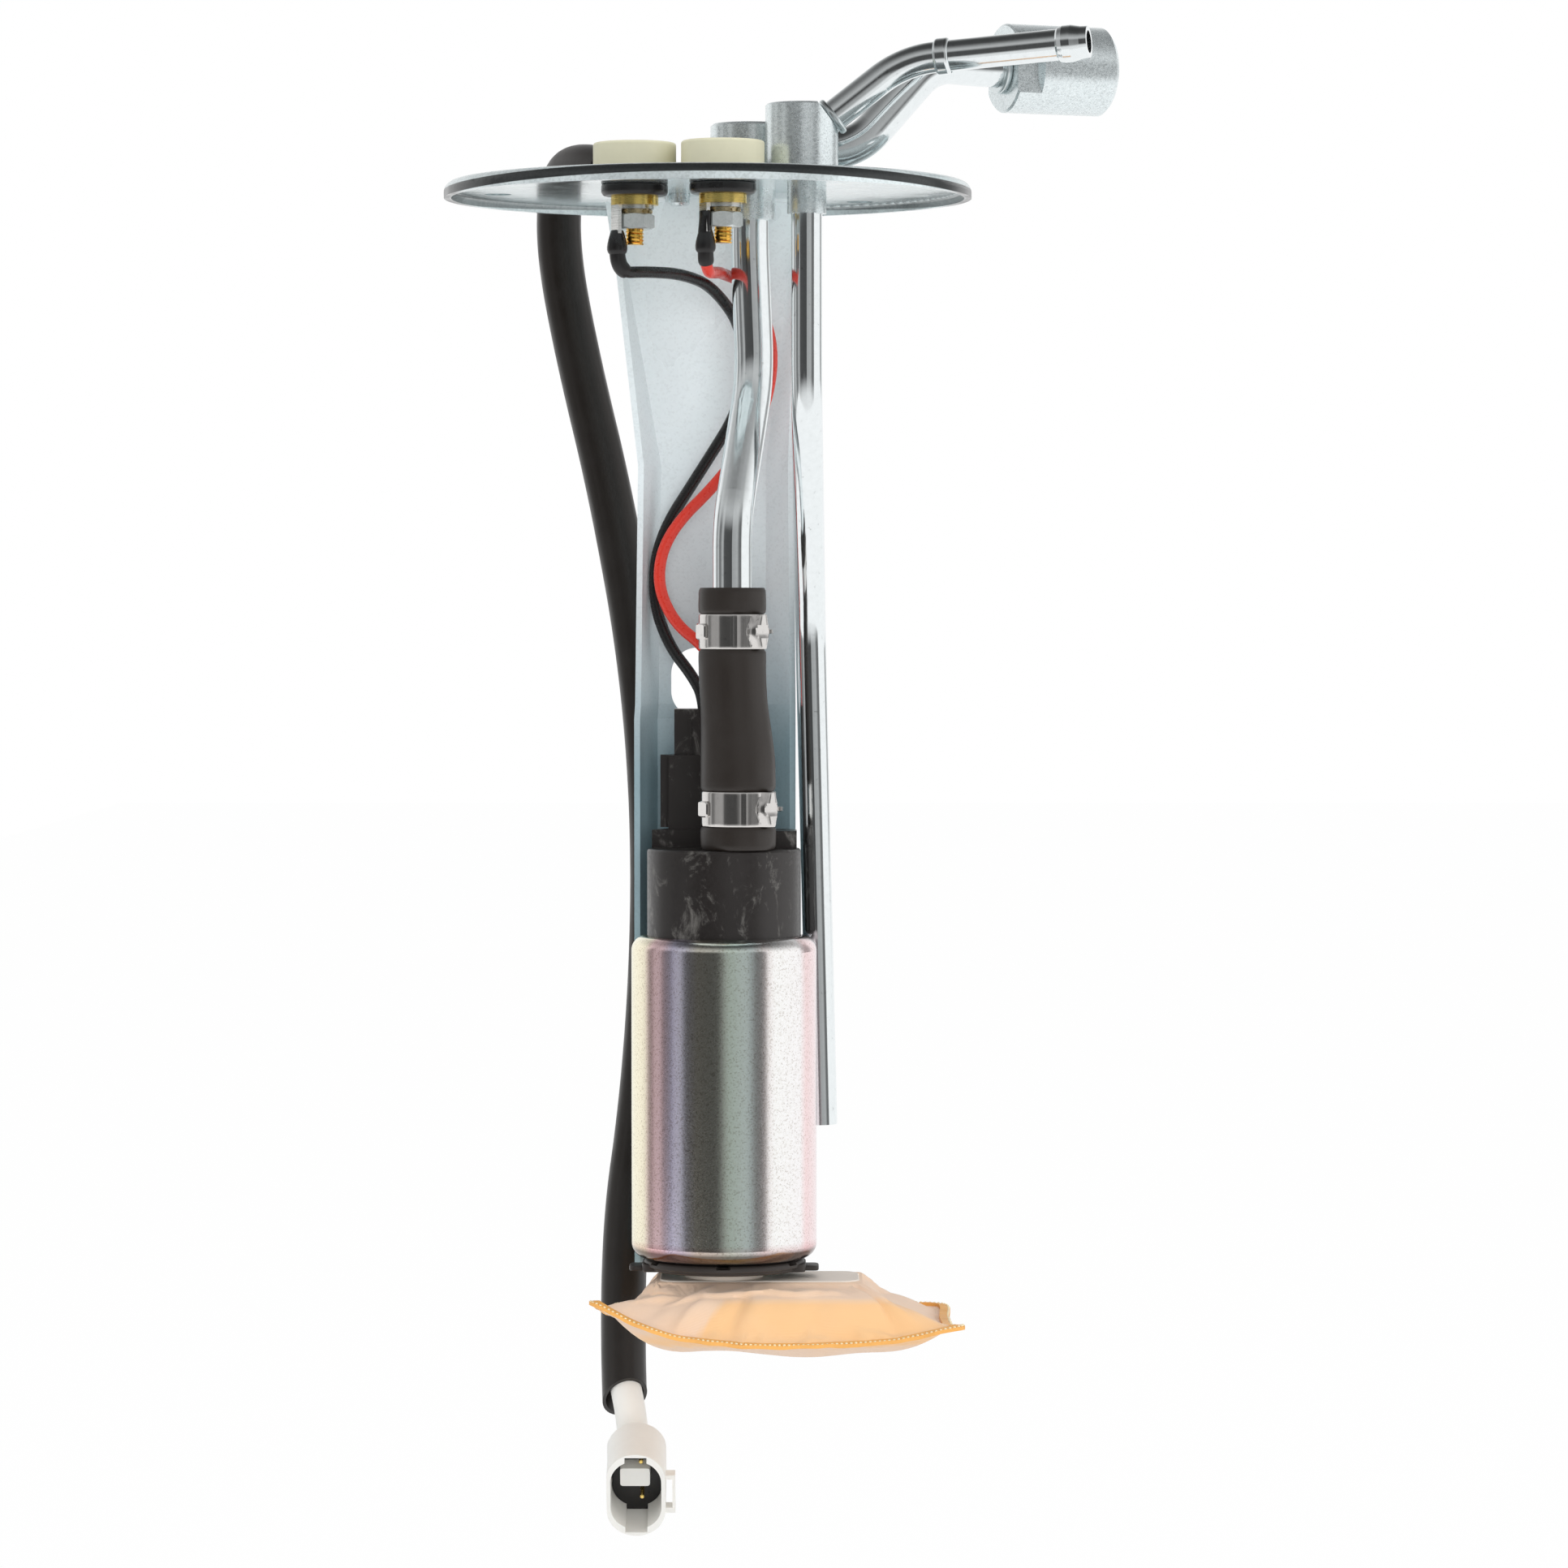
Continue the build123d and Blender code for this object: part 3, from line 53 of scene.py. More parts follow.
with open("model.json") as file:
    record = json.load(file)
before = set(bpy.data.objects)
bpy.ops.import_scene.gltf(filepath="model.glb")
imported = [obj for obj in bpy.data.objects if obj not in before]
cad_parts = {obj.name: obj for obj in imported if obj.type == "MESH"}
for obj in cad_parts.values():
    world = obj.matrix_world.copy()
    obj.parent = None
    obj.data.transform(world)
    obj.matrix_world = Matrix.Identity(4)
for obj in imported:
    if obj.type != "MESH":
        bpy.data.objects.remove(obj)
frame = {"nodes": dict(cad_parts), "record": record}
CAD_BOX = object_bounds()

MM = 0.001
HOLDER = "pump_module"  # the body that everything fixed rides on

# Places taken over from the frame, in millimetres.
PUMP_AXIS = (3.3, -3.0)
OUTLET_AXIS = (5.1, -11.3)
SPIGOT_AXIS = (6.3, -11.3)
TERMINALS = ((-14.6, -14.5), (3.3, -20.0))
SEAL_LOW, LUG_LOW, WASHER_LOW, NUT_LOW, STUD_LOW = -2.3, -5.0, -5.9, -9.0, -12.1
UNION_FACE = Vector((60.9, 10.2, 25.9))
UNION_AXIS = Vector((cos(radians(22.5)), sin(radians(22.5)), 0))
UNION_DEPTH = 11.4  # how far in the thread starts
HOSE_TOP, HOSE_LOW = -81.4, -134.6
CLAMP_HIGH_Z, CLAMP_LOW_Z = -90.3, -126.3
CUSHION_LOW, CUSHION_HIGH, LIP_LOW = -220.42, -218.87, -221.05

SLEEVE_LINE = (
    (-21.5, 33.5, 6.6), (-28.0, 43.0, 9.3), (-32.4, 53.0, 6.0), (-33.0, 54.0, -9.0),
    (-28.6, 51.5, -32.0), (-21.2, 46.0, -62.0), (-14.2, 36.5, -100.0), (-11.6, 30.5, -140.0),
    (-13.6, 29.5, -184.0), (-19.4, 31.5, -224.0), (-18.0, 31.0, -257.5),
)
SLEEVE_CUT, SLEEVE_CUT_WAY = Vector((-18.0, 31.0, -252.5)) * MM, Vector((0.2, -0.66, -0.7))
GROUND_LINE = (
    (-18.06, -16.5, -13.2), (-18.06, -16.5, -17.9), (-12.3, -12.6, -17.4), (-4.9, -4.6, -17.4),
    (1.2, 4.2, -19.6), (7.4, 11.4, -28.2), (7.2, 12.2, -43.0), (-1.6, 12.0, -57.0),
    (-10.6, 11.6, -71.0), (-11.6, 11.0, -84.0), (-8.2, 9.6, -93.4), (-3.4, 7.8, -99.4),
    (-0.9, 6.6, -104.2), (-0.9, 6.6, -109.5),
)
SUPPLY_LINE = (
    (-0.16, -22.0, -13.2), (-0.16, -22.0, -18.2), (1.9, -13.5, -17.6), (2.6, -4.5, -17.1),
    (2.7, 4.5, -16.7), (8.4, 10.6, -18.4), (13.9, 9.2, -31.0), (11.6, 8.6, -46.0),
    (2.6, 8.2, -59.0), (-8.2, 8.0, -69.5), (-10.9, 7.6, -79.5), (-7.4, 7.2, -88.4),
    (-0.4, 6.6, -93.8), (2.9, 6.6, -100.4), (2.9, 6.6, -109.4),
)
TAIL_LINES = (
    ((-25.3, 36.9, 7.7), (-20.2, 29.5, 6.2), (-15.6, 16.5, 5.2), (-14.6, 3.0, 4.9),
     (-14.5, -10.0, 4.9)),
    ((-23.2, 38.3, 7.7), (-17.6, 30.2, 6.2), (-8.6, 17.5, 5.2), (-3.6, 3.5, 5.0),
     (2.6, -6.5, 4.9), (3.3, -15.5, 4.9)),
)


# ---- settings --------------------------------------------------------------------------
def colour_prop(name, description, default):
    return bpy.props.FloatVectorProperty(
        name=name, description=description, subtype="COLOR", size=3, min=0.0, max=1.0,
        default=default,
    )


def length_prop(name, description, millimetres):
    return bpy.props.FloatProperty(
        name=name, description=description, subtype="DISTANCE", unit="LENGTH", min=0.0,
        default=millimetres * MM, precision=5,
    )


class PlatingSettings(bpy.types.PropertyGroup):
    """Colours of the plated sheet, fittings, tubes and the pump can."""

    zinc: colour_prop("Zinc", "Plated sheet of the flange", (0.80, 0.88, 0.89))
    hanger: colour_prop("Hanger", "Bluish zinc of the hanger", (0.88, 0.95, 0.97))
    casting: colour_prop("Fittings", "Bosses and the line union", (0.80, 0.86, 0.87))
    tube: colour_prop("Tube", "Fuel lines", (0.84, 0.88, 0.89))
    can: colour_prop("Pump can", "Ground colour of the passivated can", (0.92, 0.93, 0.90))
    brass: colour_prop("Brass", "Collars and pins", (0.94, 0.66, 0.20))
    stud: colour_prop("Studs", "Threaded terminal studs", (0.90, 0.52, 0.10))


class MouldingSettings(bpy.types.PropertyGroup):
    """Colours of the moulded and rubber pieces."""

    black: colour_prop("Black moulding", "Pump head, cover and plug", (0.017, 0.014, 0.013))
    ivory: colour_prop("Terminal caps", "Ivory insulators on the flange", (0.78, 0.75, 0.55))
    white: colour_prop("White moulding", "Wiring plug and neck", (0.88, 0.87, 0.83))
    rubber: colour_prop("Rubber", "Seals, boots and cushion", (0.010, 0.009, 0.009))
    hose: colour_prop("Hose", "Fuel hose", (0.021, 0.016, 0.013))


class FilterSettings(bpy.types.PropertyGroup):
    """The strainer bag under the pump."""

    mesh_colour: colour_prop("Mesh", "Woven bag seen flat", (0.89, 0.66, 0.50))
    plate_colour: colour_prop("Plate", "Moulded plate on top of the bag", (0.86, 0.77, 0.68))
    front_colour: colour_prop("Mesh on edge", "Steep sides, lit through", (0.97, 0.60, 0.30))
    seam_width: length_prop("Seam", "Flat welded margin round the bag", 1.5)
    weld_dots: bpy.props.IntProperty(
        name="Weld dots", description="Dots pressed into the seam", default=250, min=20, max=600
    )
    swell: bpy.props.FloatProperty(
        name="Swell", description="Pressure that fills the bag", default=3.0, min=0.0, max=20.0
    )


class HarnessSettings(bpy.types.PropertyGroup):
    """Sleeve and leads."""

    sleeve_diameter: length_prop("Sleeve", "Outside diameter of the sleeve", 9.5)
    sleeve_wall: length_prop("Sleeve wall", "Wall of the sleeve", 0.7)
    lead_diameter: length_prop("Lead", "Outside diameter of the pump leads", 2.4)
    tail_diameter: length_prop("Tail", "Outside diameter of the harness wires", 2.2)
    sleeve_colour: colour_prop("Sleeve", "Extruded sleeve", (0.012, 0.009, 0.007))
    ground_colour: colour_prop("Ground lead", "Lead to the flange side", (0.012, 0.012, 0.012))
    supply_colour: colour_prop("Supply lead", "Insulated side's lead", (0.66, 0.035, 0.018))


class HardwareSettings(bpy.types.PropertyGroup):
    """Threads, washers and hose clamps."""

    stud_pitch: length_prop("Stud pitch", "Thread pitch of the terminal studs", 0.7)
    union_pitch: length_prop("Union pitch", "Thread pitch inside the line union", 1.5)
    washer_teeth: bpy.props.IntProperty(
        name="Washer teeth", description="Teeth round each washer", default=14, min=6, max=40
    )
    clamp_width: length_prop("Clamp width", "Width of the hose clamp bands", 7.0)


class StudioSettings(bpy.types.PropertyGroup):
    """Floor, lamps and camera."""

    lamp_power: bpy.props.FloatProperty(
        name="Lamp power", description="Watts of the lamp on the right", subtype="POWER",
        default=4.8, min=0.0,
    )
    floor_drop: length_prop("Floor drop", "Gap between the module and the floor", 60.0)
    focal: bpy.props.FloatProperty(
        name="Focal length", description="Camera lens in millimetres", default=124.84, min=20.0
    )


# ---- mesh helpers ----------------------------------------------------------------------
def linked(name, data):
    """A new object at the origin for a mesh, a curve, a lamp or a camera."""
    made = bpy.data.objects.new(name, data)
    bpy.context.scene.collection.objects.link(made)
    return made


def piece_from(name, vertices, faces, finish, smooth):
    """A finished piece at the origin from points in millimetres."""
    mesh = bpy.data.meshes.new(name)
    mesh.from_pydata([Vector(v) * MM for v in vertices], [], faces)
    mesh.validate()
    return finished(linked(name, mesh), finish, smooth)


def finished(piece, finish, smooth):
    """Cleans a piece's mesh, smooths it up to an angle in degrees and lays on its finish."""
    mesh = piece.data
    bm = bmesh.new()
    bm.from_mesh(mesh)
    bmesh.ops.remove_doubles(bm, verts=bm.verts, dist=1e-6)
    bmesh.ops.recalc_face_normals(bm, faces=bm.faces)
    bm.to_mesh(mesh)
    bm.free()
    for face in mesh.polygons:
        face.use_smooth = True
    mesh.set_sharp_from_angle(angle=radians(smooth))
    mesh.materials.clear()
    mesh.materials.append(FINISHES[finish])
    return piece


def seated(piece, slot, *nodes):
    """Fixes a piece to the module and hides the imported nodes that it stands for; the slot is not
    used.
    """
    if nodes:
        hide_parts(*nodes)
    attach(piece, HOLDER)


def turns(count):
    """Even angles round a circle."""
    return [2 * pi * j / count for j in range(count)]


def grid_faces(rows, columns, closed=True):
    """Quads between rows of points."""
    faces = []
    for i in range(rows - 1):
        for j in range(columns if closed else columns - 1):
            a = i * columns + j
            b = i * columns + (j + 1) % columns
            faces.append((a, b, b + columns, a + columns))
    return faces


def shell(rows, ends=None):
    """Points and faces over rings of points: "join" runs the last ring back into the first,
    and "caps" fills both end rings."""
    columns = len(rows[0])
    points = [spot for row in rows for spot in row]
    faces = grid_faces(len(rows), columns)
    last = len(points) - columns
    if ends == "join":
        for j in range(columns):
            k = (j + 1) % columns
            faces.append((last + j, last + k, k, j))
    elif ends == "caps":
        faces += [tuple(range(columns - 1, -1, -1)), tuple(range(last, last + columns))]
    return points, faces


def rings(outline, count, place):
    """A ring of points for each entry of an outline; place gives a point from the entry's
    values and the angle."""
    return [[place(*entry, turn) for turn in turns(count)] for entry in outline]


def lathe(profile, centre, segments):
    """Points and faces of a turned shape; profile is a loop of (radius, height) points."""
    x, y = centre
    return shell(rings(profile, segments, lambda radius, z, turn: Vector(
        (x + radius * cos(turn), y + radius * sin(turn), z)
    )), "join")


def joined(parts):
    """One set of points and faces from several."""
    points, faces = [], []
    for more_points, more_faces in parts:
        start = len(points)
        points += more_points
        faces += [tuple(start + i for i in face) for face in more_faces]
    return points, faces


def rounded(corners, radius, steps=5):
    """A closed loop of (r, z) corners with each corner rounded."""
    loop = []
    for i, corner in enumerate(corners):
        at = Vector(corner)
        before = Vector(corners[i - 1]) - at
        after = Vector(corners[(i + 1) % len(corners)]) - at
        reach = min(radius, before.length * 0.45, after.length * 0.45)
        one, two = at + before.normalized() * reach, at + after.normalized() * reach
        for k in range(steps + 1):
            t = k / steps
            loop.append(tuple(one * (1 - t) ** 2 + at * 2 * t * (1 - t) + two * t * t))
    return loop


def nurbs_line(name, line, radius=0.0):
    """A curve of one open spline through its control points, in millimetres."""
    curve = bpy.data.curves.new(name, "CURVE")
    curve.dimensions = "3D"
    spline = curve.splines.new("NURBS")
    spline.points.add(len(line) - 1)
    for point, place in zip(spline.points, line):
        point.co = (*[v * MM for v in place], 1.0)
    spline.order_u = 3
    spline.use_endpoint_u = True
    spline.resolution_u = 14
    curve.bevel_depth = radius
    curve.bevel_resolution = 7
    curve.use_fill_caps = radius > 0
    return curve


def points_along(line):
    """Points read from a line's own spline, in metres."""
    guide = linked("guide", nurbs_line("guide", line))
    mesh = bpy.data.meshes.new_from_object(guide)
    points = [vertex.co.copy() for vertex in mesh.vertices]
    bpy.data.objects.remove(guide)
    bpy.data.meshes.remove(mesh)
    return points


def line_length(points):
    return sum((b - a).length for a, b in zip(points, points[1:]))


def even_points(points, spacing):
    """The same line with points at an even spacing."""
    total = line_length(points)
    count = max(2, int(total / spacing))
    step = total / count
    out, travelled, target = [points[0].copy()], 0.0, step
    for a, b in zip(points, points[1:]):
        run = (b - a).length
        while travelled + run >= target - 1e-9 and len(out) < count:
            out.append(a.lerp(b, (target - travelled) / run))
            target += step
        travelled += run
    out.append(points[-1].copy())
    return out


def ring_frames(points):
    """A frame at each point that turns no more than the line does."""
    frames = []
    side = None
    for i, point in enumerate(points):
        ahead = points[min(i + 1, len(points) - 1)] - points[max(i - 1, 0)]
        ahead.normalize()
        if side is None:
            side = ahead.orthogonal().normalized()
        side = (side - ahead * side.dot(ahead)).normalized()
        frames.append((point, side, ahead.cross(side)))
    return frames


# ---- node helpers ----------------------------------------------------------------------
class Nodes:
    """A node tree and the calls that add to it."""

    def __init__(self, tree):
        self.tree = tree

    def link(self, one, two):
        self.tree.links.new(one, two)

    def fill(self, socket, value):
        """Links a socket to another node's output, or gives it a plain value."""
        if isinstance(value, bpy.types.NodeSocket):
            self.link(value, socket)
        elif socket.type == "RGBA":
            socket.default_value = (*value[:3], 1.0)
        else:
            socket.default_value = value

    def node(self, kind, sockets=None, **settings):
        made = self.tree.nodes.new(kind)
        for key, value in settings.items():
            setattr(made, key, value)
        for key, value in (sockets or {}).items():
            self.fill(made.inputs[key], value)
        return made

    def kept(self, kind):
        """The node of its kind that the tree came with."""
        return next(n for n in self.tree.nodes if n.type == kind)

    def place(self, scale=(1, 1, 1), shift=(0, 0, 0), source="Object"):
        """Coordinates on the piece, stretched and shifted."""
        spots = self.node("ShaderNodeTexCoord").outputs[source]
        sockets = {"Scale": scale, "Location": shift, "Vector": spots}
        return self.node("ShaderNodeMapping", sockets).outputs["Vector"]

    def split(self, vector):
        return self.node("ShaderNodeSeparateXYZ", {"Vector": vector}).outputs

    def noise(self, where, scale, detail=4.0, rough=0.55, distortion=0.0):
        sockets = {"Scale": scale, "Detail": detail, "Roughness": rough}
        sockets |= {"Distortion": distortion, "Vector": where}
        return self.node("ShaderNodeTexNoise", sockets).outputs["Fac"]

    def grains(self, scale):
        """Small cells, each with a grey of its own."""
        cells = self.node("ShaderNodeTexVoronoi", {"Scale": scale, "Vector": self.place()})
        parts = self.node("ShaderNodeSeparateColor", {"Color": cells.outputs["Color"]})
        return parts.outputs["Red"]

    def ramp(self, value, stops):
        """Colours or plain levels by place, each stop a place from 0 to 1 and its colour."""
        made = self.node("ShaderNodeValToRGB", {"Fac": value})
        elements = made.color_ramp.elements
        while len(elements) < len(stops):
            elements.new(0.5)
        for element, (at, colour) in zip(elements, stops):
            element.position = at
            element.color = (*(colour if isinstance(colour, tuple) else (colour,) * 3), 1.0)
        return made.outputs["Color"]

    def spread(self, value, low, high, start=0.0, end=1.0):
        """Low to high as a value goes from start to end."""
        sockets = {"From Min": start, "From Max": end, "To Min": low, "To Max": high}
        return self.node("ShaderNodeMapRange", {**sockets, "Value": value}).outputs["Result"]

    def blend(self, factor, one, two, mode="MIX"):
        sockets = {0: factor, 6: one, 7: two}
        made = self.node("ShaderNodeMix", sockets, data_type="RGBA", blend_type=mode)
        return made.outputs[2]

    def math(self, operation, one, two):
        return self.node("ShaderNodeMath", {0: one, 1: two}, operation=operation).outputs["Value"]

    def mix_shaders(self, factor, one, two):
        return self.node("ShaderNodeMixShader", {0: factor, 1: one, 2: two}).outputs[0]


class Finish(Nodes):
    """Builds one procedural material."""

    def __init__(self, name, **sockets):
        self.material = bpy.data.materials.new(name)
        self.material.use_nodes = True
        self.material.diffuse_color = (0.5, 0.5, 0.5, 1.0)
        super().__init__(self.material.node_tree)
        self.shader = self.kept("BSDF_PRINCIPLED")
        for key, value in sockets.items():
            self.shader.inputs[key.replace("_", " ")].default_value = value

    def done(self, colour, rough, height, strength, distance=0.00004):
        """Lays the colour, the roughness and the bump on the shader; gives the material."""
        sockets = {"Strength": strength, "Distance": distance, "Height": height}
        normal = self.node("ShaderNodeBump", sockets).outputs["Normal"]
        for key, value in (("Base Color", colour), ("Roughness", rough), ("Normal", normal)):
            self.fill(self.shader.inputs[key], value)
        return self.material


# ---- finishes --------------------------------------------------------------------------
def shade(colour, factor):
    return tuple(min(1.0, max(0.0, c * factor)) for c in colour)


def tints(colour, *stops):
    """Stops of a ramp from places and how much lighter or darker than a colour each is."""
    return [(at, shade(colour, factor)) for at, factor in stops]


def plated_sheet(name, colour, rough=(0.14, 0.26), sparkle=0.22, rim_reflection=None):
    """Bright plated sheet with a fine spangle and bluish patches, and a painted reflection band on
    its upper edge if asked.
    """
    f = Finish(name, Metallic=0.62)
    patches = f.noise(f.place(), 45.0, 5.0, 0.6)
    grain = f.grains(2600.0)
    tone = f.ramp(patches, tints(colour, (0.35, 0.93), (0.55, 1.0), (0.72, 0.97)))
    if rim_reflection:
        x, y, z = f.split(f.place())
        across = f.math("POWER", x, 2.0)
        tilted = f.math("ADD", z, f.math("MULTIPLY", across, 0.6))
        # painted reflection: dark and bright bands on the upper edge, by height
        edge = f.ramp(f.spread(tilted, 0.0, 1.0, -RIM_HALF, RIM_HALF), rim_reflection)
        out = f.math("POWER", f.math("ADD", across, f.math("POWER", y, 2.0)), 0.5)
        outer = f.spread(out, 0.0, 1.0, *RIM_RADII)
        tone = f.blend(outer, tone, f.blend(1.0, tone, edge, "MULTIPLY"))
        f.link(f.spread(outer, 0.90, 0.40), f.shader.inputs["Metallic"])
    spark = f.ramp(grain, [(0.0, 1 - sparkle), (0.6, 0.97), (1.0, 1.0)])
    gloss = f.spread(f.noise(f.place(), 160.0, 3.0, 0.6), *rough, 0.3, 0.7)
    height = f.math("ADD", grain, f.noise(f.place(), 900.0, 3.0))
    return f.done(f.blend(1.0, tone, spark, "MULTIPLY"), gloss, height, 0.12, 0.00006)


# The flange's upper edge carries a painted reflection of the room's dark and bright: level by
# height, from RIM_HALF metres below height 0 to as much above it. The band fades in from the first
# radius to the second.
RIM_HALF, RIM_RADII = 0.003, (0.0515, 0.0530)
FLANGE_RIM_PAINTED_REFLECTION = [
    (0.0, 0.55), (0.19, 0.55), (0.22, 1.0), (0.435, 1.0), (0.46, 0.05), (0.745, 0.05),
    (0.765, 0.85),
]


def satin_zinc(name, colour):
    """Pale bluish satin zinc with cloudy patches and fine lengthwise marks, and painted shade by
    height that darkens it to slate and teal low down.
    """
    f = Finish(name, Metallic=0.05)
    clouds = f.noise(f.place((1.0, 1.0, 0.45)), 30.0, 4.0, 0.5, 0.5)
    marks = f.noise(f.place((1.0, 1.0, 0.05)), 1300.0, 3.0, 0.6)
    # painted shade: the ramp by height darkens the zinc to slate and teal low down, a little paler
    # at the top
    up = f.spread(f.split(f.place())["Z"], 0.0, 1.0, -0.22, 0.0)
    tone = f.ramp(f.math("ADD", up, f.spread(clouds, -0.10, 0.10)), [
        (0.10, (0.42, 0.60, 0.66)), (0.48, (0.34, 0.48, 0.53)),
        *tints(colour, (0.64, 0.74), (0.78, 1.0), (0.94, 1.04)),
    ])
    fleck = f.ramp(f.grains(2400.0), [(0.0, 0.92), (0.3, 0.98), (1.0, 1.0)])
    gloss = f.spread(clouds, 0.22, 0.36, 0.3, 0.7)
    return f.done(f.blend(1.0, tone, fleck, "MULTIPLY"), gloss, marks, 0.08, 0.00005)


def cast_fitting(name, colour):
    """Satin plated steel with a fine sparkle."""
    f = Finish(name, Metallic=0.74)
    grain = f.grains(3300.0)
    fine = f.noise(f.place(), 1500.0, 4.0, 0.7)
    tone = f.ramp(grain, tints(colour, (0.0, 0.80), (0.30, 0.97), (1.0, 1.1)))
    tone = f.blend(f.spread(fine, 0.0, 0.20, 0.4, 0.7), tone, (0.55, 0.64, 0.67))
    return f.done(tone, f.spread(grain, 0.20, 0.28), f.math("ADD", grain, fine), 0.05)


def drawn_tube(name, colour, rough=(0.07, 0.15)):
    """Polished drawn tube with fine lengthwise marks and a few darker specks."""
    f = Finish(name, Metallic=1.0)
    drawn = f.noise(f.place((1.0, 1.0, 0.03)), 1800.0, 4.0, 0.6)
    spots = f.noise(f.place(), 700.0, 5.0, 0.65)
    tone = f.ramp(spots, tints(colour, (0.26, 0.70), (0.36, 1.0), (0.75, 1.06)))
    return f.done(tone, f.spread(drawn, *rough, 0.3, 0.7), drawn, 0.06)


# Hues of the passivated can by degrees round it from the front: the chromate's iridescence with
# painted reflection, its bands, green highlight and white band fixed where they show from the
# front.
CAN_PAINTED_REFLECTION_HUES = (
    (-180, (0.90, 0.80, 0.86)), (-120, (0.86, 0.92, 0.84)), (-90, (0.98, 0.94, 0.66)),
    (-58, (0.98, 0.90, 0.68)), (-50, (0.96, 0.64, 0.66)), (-41, (0.96, 0.66, 0.72)),
    (-34, (0.78, 0.72, 0.96)), (-25, (0.80, 0.78, 0.94)), (-16, (0.90, 0.86, 0.74)),
    (-4, (0.84, 0.86, 0.76)), (4, (0.82, 0.98, 0.86)), (17, (0.84, 0.97, 0.96)),
    (26, (0.98, 0.90, 0.90)), (34, (1.0, 1.0, 1.0)), (55, (1.0, 0.98, 1.0)),
    (62, (0.98, 0.74, 0.76)), (90, (0.94, 0.80, 0.84)), (180, (0.90, 0.80, 0.86)),
)
# The rolled lower edge: a painted reflection, dark with a pinkish band above it, by height over
# CAN_FOOT.
CAN_FOOT = (-0.2195, -0.2095)
CAN_FOOT_PAINTED_REFLECTION = [
    (0.0, (0.14, 0.12, 0.11)), (0.28, (0.22, 0.18, 0.17)), (0.37, (0.86, 0.74, 0.74)), (0.5, 1.0),
]


def by_degree(table):
    """Stops of a ramp from a table that goes by degrees from -180 to 180."""
    return [((degree + 180) / 360, value) for degree, value in table]


def passivated_can(name, colour):
    """Iridescent passivated steel whose hues are painted reflection, fixed round it: pale yellow,
    pink and purple on the left, a green highlight in the middle and pink on the right, under a fine
    grey speckle;
    painted reflection darkens the rolled lower edge."""
    f = Finish(name, Metallic=1.0)
    x, y, z = f.split(f.place(shift=(-PUMP_AXIS[0] * MM, -PUMP_AXIS[1] * MM, 0)))
    turn = f.math("ARCTAN2", x, f.math("MULTIPLY", y, -1.0))
    drift = f.noise(f.place((1, 1, 0.25)), 60.0, 3.0, 0.5)
    around = f.math("ADD", f.spread(turn, 0.0, 1.0, -pi, pi), f.spread(drift, -0.008, 0.008))
    # painted reflection: bands and highlights fixed by angle round the can from the front
    painted_reflection_hues = f.ramp(around, by_degree(CAN_PAINTED_REFLECTION_HUES))
    speckle = f.grains(3700.0)
    dark = f.ramp(speckle, [(0.0, (0.72, 0.69, 0.66)), (0.24, (0.94, 0.93, 0.91)), (1.0, 1.0)])
    # painted reflection: the rolled lower edge darkened by height
    edge = f.ramp(f.spread(z, 0.0, 1.0, *CAN_FOOT), CAN_FOOT_PAINTED_REFLECTION)
    tinted = f.blend(1.0, f.blend(0.85, colour, painted_reflection_hues), dark, "MULTIPLY")
    fine = f.noise(f.place(), 2400.0, 3.0, 0.7)
    gloss = f.spread(fine, 0.14, 0.20, 0.3, 0.7)
    tone = f.blend(1.0, tinted, edge, "MULTIPLY")
    return f.done(tone, gloss, f.math("ADD", speckle, fine), 0.10)


def moulding(name, colour, rough, mottle, grain=1400.0, scuff=None):
    """Moulded plastic with a faint skin texture, mottling and optional pale scuffs."""
    f = Finish(name)
    patches = f.noise(f.place(), 110.0, 5.0, 0.6)
    tone = f.ramp(patches, tints(colour, (0.3, 1 - mottle), (0.7, 1 + mottle)))
    skin = f.noise(f.place(), grain, 4.0, 0.6)
    if scuff:
        worn = f.noise(f.place((1, 1, 0.6)), 170.0, 9.0, 0.75, 0.8)
        tone = f.blend(f.spread(worn, 0.0, 0.9, 0.54, 0.72), tone, scuff)
    return f.done(tone, f.spread(skin, *rough, 0.3, 0.7), skin, 0.14, 0.00008)


def rubber(name, colour, rough, bloom):
    """Rubber with a fine grain and a slight pale bloom."""
    f = Finish(name, Specular_IOR_Level=0.45)
    patches = f.noise(f.place(), 95.0, 6.0, 0.62, 0.4)
    skin = f.noise(f.place(), 1700.0, 5.0, 0.65)
    pale = tuple(c * 0.9 + 0.018 for c in colour)
    tone = f.blend(f.spread(patches, 0.0, bloom, 0.45, 0.75), colour, pale)
    return f.done(tone, f.spread(patches, *rough, 0.35, 0.65), skin, 0.20, 0.00008)


def turned_metal(name, colour, rough, lines=5200.0, mottle=0.12):
    """Turned or stamped bright metal with fine tool lines."""
    f = Finish(name, Metallic=1.0)
    cut = f.noise(f.place((0.02, 0.02, 1.0)), lines, 2.0, 0.5)
    patches = f.noise(f.place(), 260.0, 5.0, 0.6)
    tone = f.ramp(patches, tints(colour, (0.3, 1 - mottle), (0.7, 1 + mottle)))
    return f.done(tone, f.spread(cut, *rough, 0.3, 0.7), cut, 0.12)


